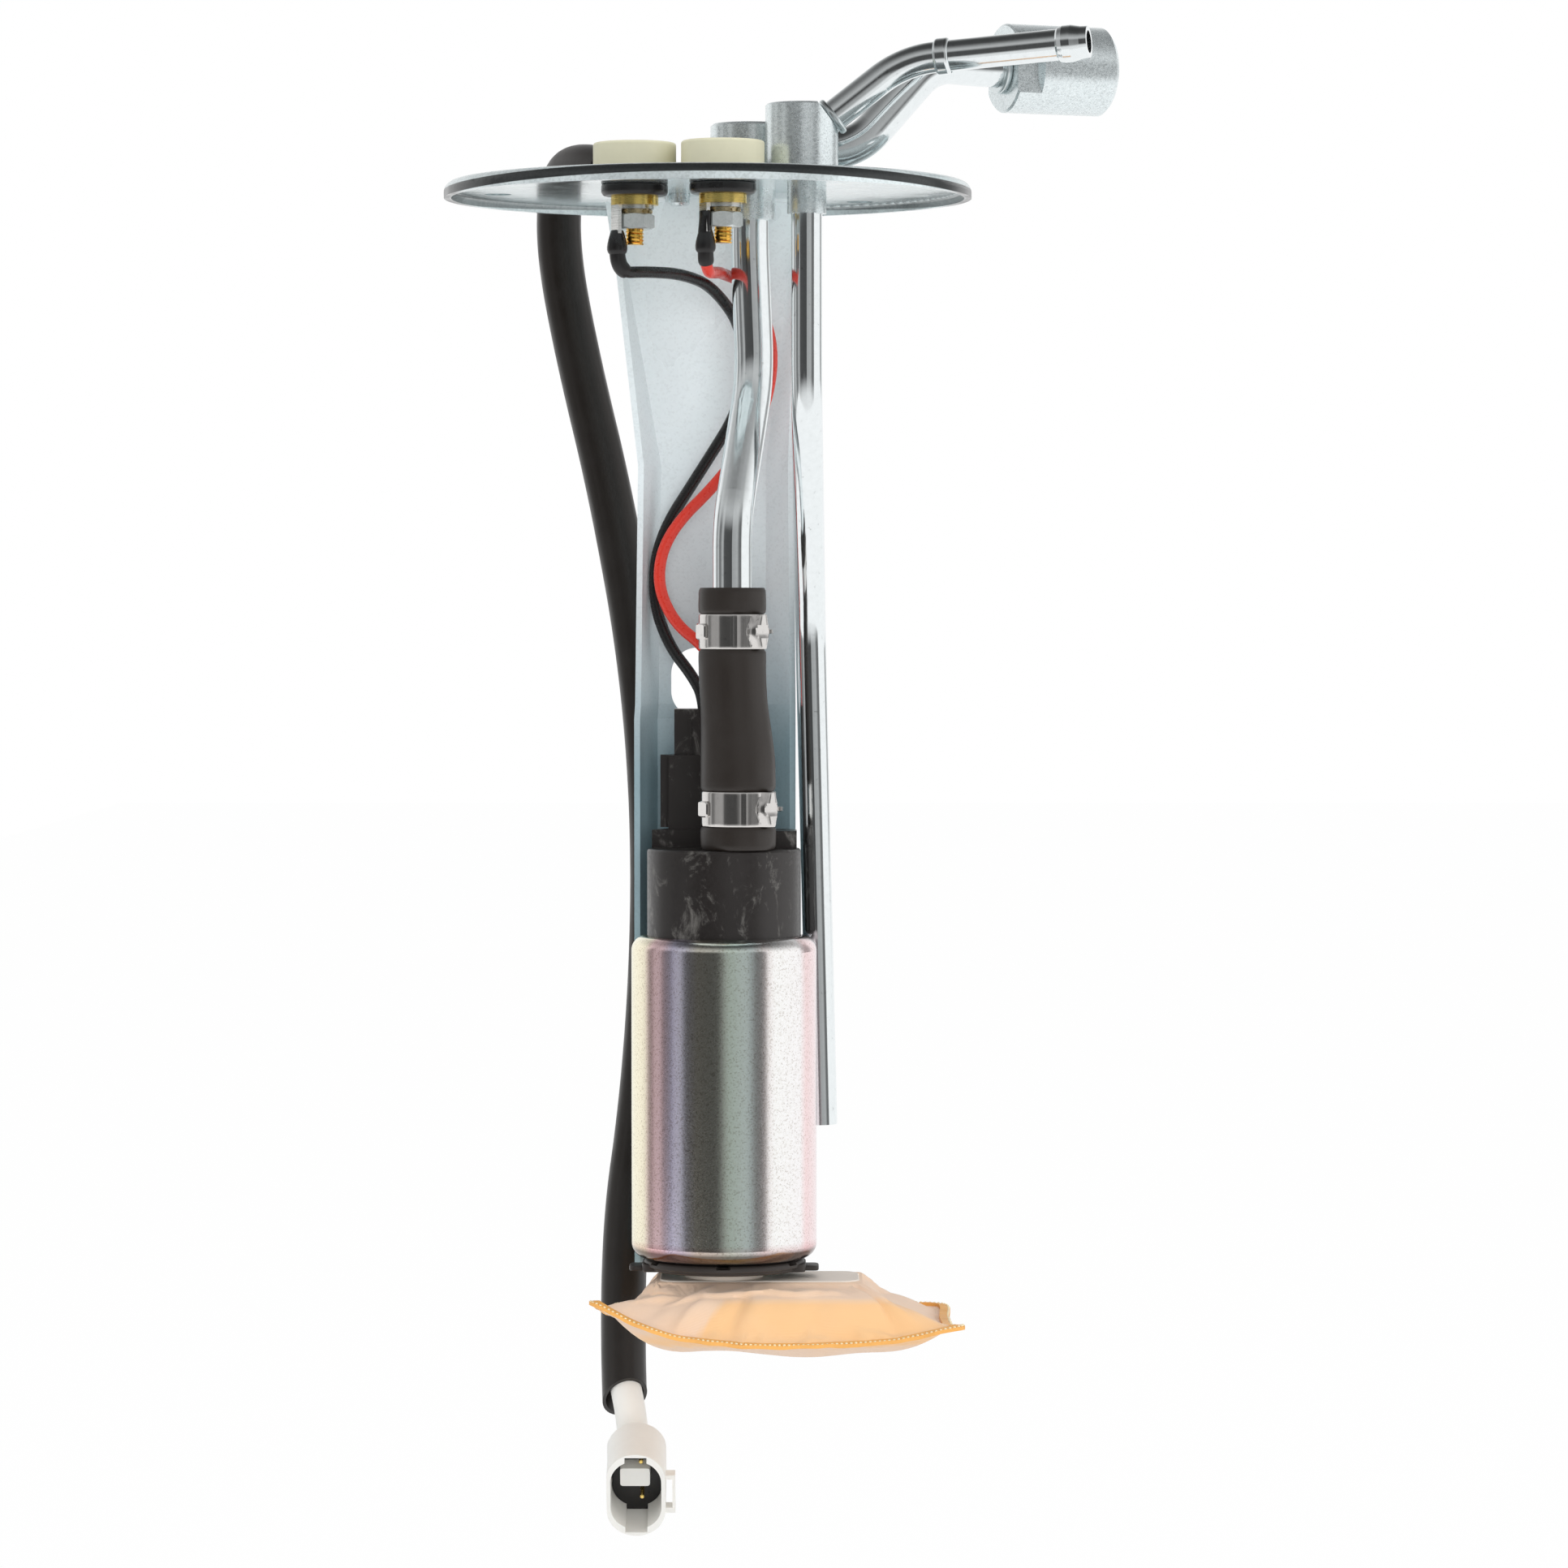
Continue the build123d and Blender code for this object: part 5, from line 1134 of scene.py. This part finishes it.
class FUELPUMP_OT_terminals(bpy.types.Operator):
    """Cuts the stud threads and makes the lock washers, seals and lead boots"""

    bl_idname = "fuelpump.terminals"
    bl_label = "Terminals"

    sides = 28  # round each boot

    def execute(self, context):
        settings = context.scene.fuelpump_hardware
        threads, teeth = thread_tree(), toothed_tree()
        thread_sizes = {
            "Radius": 1.64 * MM, "Pitch": settings.stud_pitch, "Length": 2.9 * MM,
            "Ridge": 0.24 * MM, "Steps": 40,
        }
        tooth_sizes = {
            "Teeth": settings.washer_teeth, "Radius": 2.95 * MM,
            "Size": (1.3 * MM, 0.85 * MM, 0.5 * MM),
        }
        pieces = (
            ("stud_thread", threads, thread_sizes, "orange_brass", 40.0, STUD_LOW + 0.1),
            ("lock_teeth", teeth, tooth_sizes, "spring_steel", 30.0, (LUG_LOW + WASHER_LOW) / 2),
        )
        for number, (x, y) in enumerate(TERMINALS, 1):
            for name, tree, sizes, finish, smooth, z in pieces:
                matrix = Matrix.Translation(Vector((x, y, z)) * MM)
                piece = grown(f"{name}_{number}", tree, sizes, finish, smooth, matrix)
                seated(piece, finish)

        profile = rounded([
            (3.45, SEAL_LOW), (6.3, SEAL_LOW), (6.75, SEAL_LOW + 0.7), (6.75, -0.05), (3.45, -0.05),
        ], 0.35)
        seals = [lathe(profile, spot, 64) for spot in TERMINALS]
        for name, parts, smooth, node in (
            ("stud_seals", seals, 40.0, "terminal_seals"),
            ("lead_boots", self.boots(), 50.0, "lug_boots"),
        ):
            seated(piece_from(name, *joined(parts), "black_rubber", smooth), "black_rubber", node)
        return {"FINISHED"}

    def boots(self):
        """Boots over the crimps; each has a bulb, a waist and a collar that follows its lead."""
        parts = []
        top = NUT_LOW - 0.3
        bulb = [(radius, top - down) for radius, down in (
            (0.02, 0.0), (1.15, 0.0), (1.32, 0.2), (1.55, 1.0), (1.8, 1.9), (1.98, 2.7),
            (2.08, 3.4), (2.06, 4.0), (1.9, 4.5), (1.6, 4.85), (1.5, 5.1), (0.02, 5.1),
        )]
        for line, reach in ((GROUND_LINE, 5.6), (SUPPLY_LINE, 3.5)):
            parts.append(lathe(bulb, line[0][:2], 36))
            points, run = [], 0.0
            track = even_points(points_along(line), 0.4 * MM)
            for one, two in zip(track, track[1:]):
                points.append(one)
                run += (two - one).length
                if run > reach * MM:
                    break
            collar = []
            for i, (centre, side, up) in enumerate(ring_frames(points)):
                left = (len(points) - 1 - i) * 0.4
                radius = 1.62 - 0.18 * max(0.0, 1 - left / 0.8) ** 2
                collar.append([
                    (centre + (side * cos(turn) + up * sin(turn)) * radius * MM) / MM
                    for turn in turns(self.sides)
                ])
            parts.append(shell(collar, "caps"))
        # the supply boot is drawn up over the tongue of its lug
        x, y = SUPPLY_LINE[0][:2]
        lug_turn = radians(30)
        across = Vector((sin(lug_turn), -cos(lug_turn), 0))
        away = Vector((cos(lug_turn), sin(lug_turn), 0))
        tongue = (
            (-5.7, 1.5, 0.75), (-5.95, 1.8, 0.95), (-7.2, 1.75, 1.0), (-8.6, 1.6, 1.2),
            (-10.4, 1.5, 1.45),
        )

        def place(z, wide, thick, turn):
            side, out = across * (wide * cos(turn)), away * (thick * sin(turn))
            return Vector((x, y, z)) + side + out - away * 0.1

        parts.append(shell(rings(tongue, self.sides, place), "caps"))
        return parts


class FUELPUMP_OT_union_thread(bpy.types.Operator):
    """Winds the thread inside the mouth of the line union"""

    bl_idname = "fuelpump.union_thread"
    bl_label = "Union thread"

    def execute(self, context):
        sizes = {
            "Radius": 6.28 * MM, "Pitch": context.scene.fuelpump_hardware.union_pitch,
            "Length": 10.4 * MM, "Ridge": 0.55 * MM, "Steps": 72,
        }
        turn = UNION_AXIS.to_track_quat("Z", "Y").to_matrix().to_4x4()
        matrix = Matrix.Translation((UNION_FACE + UNION_AXIS * UNION_DEPTH) * MM) @ turn
        ridge = grown("union_thread", thread_tree(), sizes, "cast_plated", 30.0, matrix)
        seated(ridge, "cast_plated")
        return {"FINISHED"}


EAR_TURN = radians(-42)
BAND_HEIGHTS = (-1, -0.93, -0.75, -0.55, -0.38, -0.22, -0.08, 0.08, 0.22, 0.38, 0.55, 0.75, 0.93, 1)
BAND_THICKNESS, BAND_LAP = 0.6, 0.42


def ear_clamp(name, centre, inner, node, settings):
    """A stepless clamp: overlapping band, pinched ear with its dimple, and a hook tab."""
    half = settings.clamp_width / MM / 2
    cx, cy, z = centre
    outside, inside = [], []
    for share in BAND_HEIGHTS:
        h = share * half
        outer_row, inner_row = [], []
        for turn in turns(288):
            arc = ((turn - EAR_TURN + pi) % (2 * pi) - pi) * inner
            reach = 1.35 + 1.05 * cos(share * pi / 2) ** 1.5
            t = abs(arc) / reach
            ear = 1.95 * (1 - t**3.0) ** 0.75 if t < 1 else 0.0
            oval = (arc / 1.55) ** 2 + (h / 1.25) ** 2
            dimple = 0.75 * (1 - oval) ** 0.5 if oval < 1 else 0.0
            ridge = 0.28 * max(0.0, 1 - abs(h) / 0.28) if oval < 0.8 else 0.0
            lap = BAND_LAP if -4.4 < arc < 0 else 0.0
            if -5.2 < arc <= -4.4:
                lap = BAND_LAP * (arc + 5.2) / 0.8
            wave = 0.035 * sin(7 * turn) + 0.03 * sin(13 * turn + 1.0)
            edge = 0.10 if abs(share) == 1 else 0.0
            lap *= 1 if t >= 1 else 0.6
            radius = inner + BAND_THICKNESS + lap + ear - dimple + ridge + wave - edge
            hollow = inner + max(0.0, ear - 0.35) * 0.6
            for row, r in ((outer_row, radius), (inner_row, hollow)):
                row.append((cx + r * cos(turn), cy + r * sin(turn), z + h))
        outside.append(outer_row)
        inside.append(inner_row)
    parts = [shell(outside + inside[::-1], "join")]
    # the hook tab on the left and the small tooth beyond the ear
    for turn, tall, wide, proud in ((radians(-155), 1.65, 2.1, 0.75), (radians(-6), 0.5, 0.8, 1.5)):
        parts.append(tab_block(cx, cy, z, inner + 0.5, turn, tall, wide, proud))
    seated(piece_from(name, *joined(parts), "stainless", 34.0), "stainless", node)


def tab_block(cx, cy, z, radius, turn, tall, wide, proud):
    """A small rounded block that stands on a band and follows its curve."""
    def place(height, grow, a):
        box = max(abs(cos(a)), abs(sin(a))) ** 0.92
        reach, way = radius + height, turn + wide * grow * cos(a) / box / radius
        up = tall * grow * sin(a) / box
        return Vector((cx + reach * cos(way), cy + reach * sin(way), z + up))

    heights = ((-0.3, 1.0), (proud * 0.75, 1.0), (proud, 0.86))
    return shell(rings(heights, 28, place), "caps")


# The hose's outside radius by height, where it bends, and how far from a clamp it is squeezed.
HOSE_RADII = ((-81.4, 6.86), (-93.9, 6.86), (-103.0, 6.84), (-119.0, 7.6), (-134.6, 7.66))
BEND_HIGH, BEND_LENGTH = -97.0, 22.0
BAND_REACH = 3.6


def eased(t):
    return t * t * (3 - 2 * t)


class FUELPUMP_OT_hose(bpy.types.Operator):
    """Moulds the fuel hose, squeezed under its bands, and fits the two ear clamps"""

    bl_idname = "fuelpump.hose"
    bl_label = "Hose and clamps"

    steps = 106
    bore_top, bore_low = 4.06, 4.7

    def execute(self, context):
        settings = context.scene.fuelpump_hardware
        trims = {0: 0.35, 1: 0.08, self.steps - 1: 0.08, self.steps: 0.35}  # its rounded ends
        outline = []
        for k in range(self.steps + 1):
            z = HOSE_TOP - (HOSE_TOP - HOSE_LOW) * k / self.steps
            outline.append((self.outside(z) - trims.get(k, 0), z))
        outline += [(self.bore_low, HOSE_LOW), (self.bore_low, -113.4)]
        outline += [(self.bore_top, -104.4), (self.bore_top, HOSE_TOP)]
        skin = rings(outline, 84, self.place)
        hose = piece_from("outlet_hose", *shell(skin, "join"), "hose_rubber", 40.0)
        seated(hose, "hose_rubber", "fuel_hose")
        for name, spot, z, inner, node in (
            ("ear_clamp_high", OUTLET_AXIS, CLAMP_HIGH_Z, 6.26, "hose_clamp_upper"),
            ("ear_clamp_low", SPIGOT_AXIS, CLAMP_LOW_Z, 7.06, "hose_clamp_lower"),
        ):
            ear_clamp(name, (*spot, z), inner, node, settings)
        return {"FINISHED"}

    @staticmethod
    def place(radius, z, turn):
        """A point of the hose, which bends from one axis to the other; its outside is uneven."""
        bend = eased(min(1.0, max(0.0, (BEND_HIGH - z) / BEND_LENGTH)))
        cx = OUTLET_AXIS[0] + (SPIGOT_AXIS[0] - OUTLET_AXIS[0]) * bend
        if radius > 5.5:
            radius += 0.06 * noise.noise(Vector((cos(turn) * 1.5, sin(turn) * 1.5, z * 0.12)))
        return cx + radius * cos(turn), OUTLET_AXIS[1] + radius * sin(turn), z

    @staticmethod
    def outside(z):
        """Outside radius of the hose: wider low down, sunk under each band, swollen beside it."""
        radius = HOSE_RADII[-1][1]
        for (z0, r0), (z1, r1) in zip(HOSE_RADII, HOSE_RADII[1:]):
            if z1 <= z <= z0:
                radius = r0 + (r1 - r0) * eased((z0 - z) / (z0 - z1))
        for clamp_z in (CLAMP_HIGH_Z, CLAMP_LOW_Z):
            gap = abs(z - clamp_z) - BAND_REACH
            if gap < 0:
                radius -= 0.68
            elif gap < 0.5:
                radius -= 0.45 * (1 - gap / 0.5) ** 2
            elif gap < 3.4:
                radius += 0.05 * sin(pi * (gap - 0.5) / 2.9)
        return radius


class FUELPUMP_OT_cushion(bpy.types.Operator):
    """Moulds the rubber pad between the pump and its foot, with an ear at each side"""

    bl_idname = "fuelpump.cushion"
    bl_label = "Rubber cushion"

    def execute(self, context):
        low, high = CUSHION_LOW, CUSHION_HIGH
        cx, cy = PUMP_AXIS
        points, faces = lathe([
            (8.25, low), (16.1, low), (16.4, low + 0.2), (16.45, low + 0.8), (16.3, high - 0.35),
            (16.0, high - 0.08), (15.6, high), (8.25, high),
        ], PUMP_AXIS, 216)
        for i, (x, y, z) in enumerate(points):
            spot = Vector((x - cx, y - cy))
            radius, turn = spot.length, degrees(atan2(spot.y, spot.x))
            away = abs(turn % 60.0 - 30.0)  # degrees from the nearest of six nicks
            if radius > 15.0 and away < 4.5 and z > low + 0.9:
                spot = spot.normalized() * (radius - 1.1)
                points[i] = Vector((cx + spot.x, cy + spot.y, z - 0.35))
        parts = [(points, faces)]
        for side in (-1, 1):
            parts.append(self.ear(side, 11.4, 16.8, 6.0, low - 0.86, low + 0.78))
            parts.append(self.ear(side, 14.6, 19.45, 3.5, low - 0.84, low + 0.08))
        parts.append(self.lip(8.6, 15.7, LIP_LOW, low + 0.1))
        cushion = piece_from("pump_cushion", *joined(parts), "cushion_rubber", 35.0)
        seated(cushion, "black_rubber", "rubber_cushion")
        return {"FINISHED"}

    @staticmethod
    def lip(inner, outer, low, high):
        """The lip in front of the foot that closes on to the filter's plate."""
        corners = (
            (inner, low), (outer - 0.3, low), (outer, low + 0.3), (outer, high), (inner, high),
        )
        angles = [radians(a) for a in range(-158, -21, 2)]
        columns, rows = len(angles), len(corners)
        vertices = [
            (PUMP_AXIS[0] + r * cos(a), PUMP_AXIS[1] + r * sin(a), z)
            for r, z in corners for a in angles
        ]
        faces = grid_faces(rows, columns, False)
        last = (rows - 1) * columns
        faces += [(last + j, last + j + 1, j + 1, j) for j in range(columns - 1)]
        faces += [tuple(i * columns + end for i in range(rows)) for end in (0, columns - 1)]
        return vertices, faces

    @staticmethod
    def ear(side, near, far, half, low, high):
        """One rounded block of the pad's ear, with its upper edge softened."""
        cx, cy = PUMP_AXIS
        middle, reach = (near + far) / 2, (far - near) / 2

        def place(z, inset, turn):
            x, y = (abs(way) ** 0.35 * (1 if way > 0 else -1) for way in (cos(turn), sin(turn)))
            return cx + side * (middle + x * (reach - inset)), cy + y * (half - inset), z

        heights = (
            (low, 0.12), (low + 0.15, 0.0), (high - 0.25, 0.0), (high - 0.07, 0.08), (high, 0.28),
        )
        return shell(rings(heights, 40, place), "caps")


# What bright metal mirrors: the level of the room's walls by degrees round from the camera's
# side, how far floor and ceiling take over from them by height, and the level of those two.
ROOM_WALLS = (
    (-180, 1.0), (-126, 1.0), (-112, 0.80), (-107, 0.24), (-101, 0.24), (-97, 0.50), (-86, 0.50),
    (-82, 0.18), (-69, 0.18), (-65, 0.42), (-55, 0.42), (-49, 0.08), (-6, 0.06), (4, 0.36),
    (30, 0.44), (41, 0.14), (53, 0.15), (58, 1.0), (112, 1.0), (118, 0.36), (134, 0.40),
    (142, 1.0), (180, 1.0),
)
ROOM_HEIGHTS = ((-1.0, 1.0), (-0.42, 0.85), (-0.24, 0.0), (0.26, 0.0), (0.48, 0.80), (0.7, 1.0))
ROOM_ENDS = ((-1.0, 0.92), (0.0, 0.90), (0.45, 0.62), (0.68, 0.34), (0.88, 0.07), (1.0, 0.04))
CAMERA_PLACE = (0.0156, -1.117, -0.0857)
CAMERA_TURN = (radians(90 - 1.844), 0.0, 0.0)
# Each lamp: its place, what it is aimed at, its size in metres and its share of the power.
LAMPS = {
    "key_right": ((0.95, -0.40, 0.25), (0.0, 0.0, -0.10), (0.7, 1.3), 1.0),
    "key_left": ((-1.0, -0.35, 0.15), (0.0, 0.0, -0.10), (0.5, 1.3), 0.74),
    "front_fill": ((0.18, -1.35, -0.10), (0.0, 0.0, -0.10), (0.8, 0.9), 1.15),
    "overhead": ((0.05, 0.15, 1.1), (0.0, 0.0, 0.0), (0.9, 0.9), 0.6),
}
FLOOR_GLOW = 0.985  # the share of the floor's look that is its own white
FLOOR_LEFT, FLOOR_FRONT, FLOOR_FAR = -850.0, -420.0, 6000.0


class FUELPUMP_OT_studio(bpy.types.Operator):
    """Sets the camera, the pale floor and the soft lamps"""

    bl_idname = "fuelpump.studio"
    bl_label = "Studio"

    def execute(self, context):
        scene = context.scene
        settings = scene.fuelpump_studio
        scene.view_settings.view_transform = "Standard"

        lens = bpy.data.cameras.new("studio_camera")
        lens.lens = settings.focal
        lens.sensor_width = 36.0
        lens.clip_start, lens.clip_end = 0.02, 30.0
        camera = linked("studio_camera", lens)
        camera.location = CAMERA_PLACE
        camera.rotation_euler = CAMERA_TURN
        scene.camera = camera

        floor = self.floor(CAD_BOX[0][2] - settings.floor_drop)
        self.world(scene)
        for name, (place, target, size, share) in LAMPS.items():
            light = bpy.data.lights.new(name, "AREA")
            light.shape = "RECTANGLE"
            light.size, light.size_y = size
            light.energy = settings.lamp_power * share
            lamp = linked(name, light)
            lamp.location = place
            way = Vector(target) - Vector(place)
            lamp.rotation_euler = way.to_track_quat("-Z", "Y").to_euler()
            lamp.visible_glossy = False
        return {"FINISHED"}

    @staticmethod
    def floor(height):
        f = Finish("studio_paper", Roughness=0.9)
        paper = f.ramp(f.noise(f.place(), 30.0, 3.0), [(0.3, 0.86), (0.7, 0.90)])
        f.link(paper, f.shader.inputs["Base Color"])
        rays = f.node("ShaderNodeLightPath").outputs
        glow = f.node("ShaderNodeEmission", {"Color": (1.0, 1.0, 1.0)}).outputs[0]
        seen = f.math("MAXIMUM", rays["Is Camera Ray"], rays["Is Glossy Ray"])
        seen = f.math("MAXIMUM", seen, rays["Is Transmission Ray"])
        part = f.math("MULTIPLY", seen, FLOOR_GLOW)
        look = f.mix_shaders(part, f.shader.outputs[0], glow)
        f.link(look, f.kept("OUTPUT_MATERIAL").inputs["Surface"])
        FINISHES["studio_paper"] = f.material
        left, front, far, z = FLOOR_LEFT, FLOOR_FRONT, FLOOR_FAR, height / MM
        corners = [(left, front, z), (far, front, z), (far, far, z), (left, far, z)]
        return piece_from("studio_floor", corners, [(0, 1, 2, 3)], "studio_paper", 35.0)

    @staticmethod
    def world(scene):
        """White where the camera or glass looks, a grey room for the light, and for gloss a
        room with bright and dark walls, a pale floor and a ceiling that darkens overhead."""
        world = bpy.data.worlds.new("studio_room")
        world.use_nodes = True
        scene.world = world
        n = Nodes(world.node_tree)
        rays = n.node("ShaderNodeLightPath").outputs
        x, y, z = n.split(n.node("ShaderNodeTexCoord").outputs["Generated"])
        turn = n.math("ARCTAN2", x, n.math("MULTIPLY", y, -1.0))
        share = n.math("ADD", n.math("DIVIDE", turn, 2 * pi), 0.5)
        walls = n.ramp(share, by_degree(ROOM_WALLS))
        height = n.math("ADD", n.math("MULTIPLY", z, 0.5), 0.5)
        others, ceiling = (
            n.ramp(height, [((at + 1) / 2, level) for at, level in table])
            for table in (ROOM_HEIGHTS, ROOM_ENDS)
        )
        mirrored = n.kept("BACKGROUND")
        n.link(n.blend(others, walls, ceiling), mirrored.inputs["Color"])
        white, plain = (
            n.node("ShaderNodeBackground", {"Color": colour}).outputs[0]
            for colour in ((1.0, 1.0, 1.0), (0.55, 0.56, 0.57))
        )
        glossy = n.mix_shaders(rays["Is Glossy Ray"], plain, mirrored.outputs[0])
        clear = n.math("MAXIMUM", rays["Is Camera Ray"], rays["Is Transmission Ray"])
        seen = n.mix_shaders(clear, glossy, white)
        n.link(seen, n.kept("OUTPUT_WORLD").inputs["Surface"])


class FUELPUMP_PT_panel(bpy.types.Panel):
    """Lists the settings and the steps in the sidebar"""

    bl_idname = "FUELPUMP_PT_panel"
    bl_label = "Fuel Pump Module"
    bl_space_type = "VIEW_3D"
    bl_region_type = "UI"
    bl_category = "Fuel Pump"

    def draw(self, context):
        layout = self.layout
        for label, name, _ in SETTINGS:
            box = layout.box()
            box.label(text=label)
            settings = getattr(context.scene, name)
            for key in settings.__annotations__:
                box.prop(settings, key)
        for step in STEPS:
            layout.operator(step.bl_idname)


SETTINGS = (
    ("Plating", "fuelpump_plating", PlatingSettings),
    ("Mouldings", "fuelpump_moulding", MouldingSettings),
    ("Filter", "fuelpump_filter", FilterSettings),
    ("Harness", "fuelpump_harness", HarnessSettings),
    ("Hardware", "fuelpump_hardware", HardwareSettings),
    ("Studio", "fuelpump_studio", StudioSettings),
)
STEPS = (
    FUELPUMP_OT_finishes,
    FUELPUMP_OT_studio,
    FUELPUMP_OT_harness,
    FUELPUMP_OT_leads,
    FUELPUMP_OT_terminals,
    FUELPUMP_OT_union_thread,
    FUELPUMP_OT_hose,
    FUELPUMP_OT_cushion,
    FUELPUMP_OT_filter,
)


def register():
    for _, name, group in SETTINGS:
        bpy.utils.register_class(group)
        setattr(bpy.types.Scene, name, bpy.props.PointerProperty(type=group))
    for step in STEPS:
        bpy.utils.register_class(step)
    bpy.utils.register_class(FUELPUMP_PT_panel)


def unregister():
    bpy.utils.unregister_class(FUELPUMP_PT_panel)
    for step in reversed(STEPS):
        bpy.utils.unregister_class(step)
    for _, name, group in SETTINGS:
        delattr(bpy.types.Scene, name)
        bpy.utils.unregister_class(group)


def main():
    register()
    bpy.ops.fuelpump.finishes()
    bpy.ops.fuelpump.studio()
    bpy.ops.fuelpump.harness()
    bpy.ops.fuelpump.leads()
    bpy.ops.fuelpump.terminals()
    bpy.ops.fuelpump.union_thread()
    bpy.ops.fuelpump.hose()
    bpy.ops.fuelpump.cushion()
    bpy.ops.fuelpump.filter()


if __name__ == "__main__":
    main()
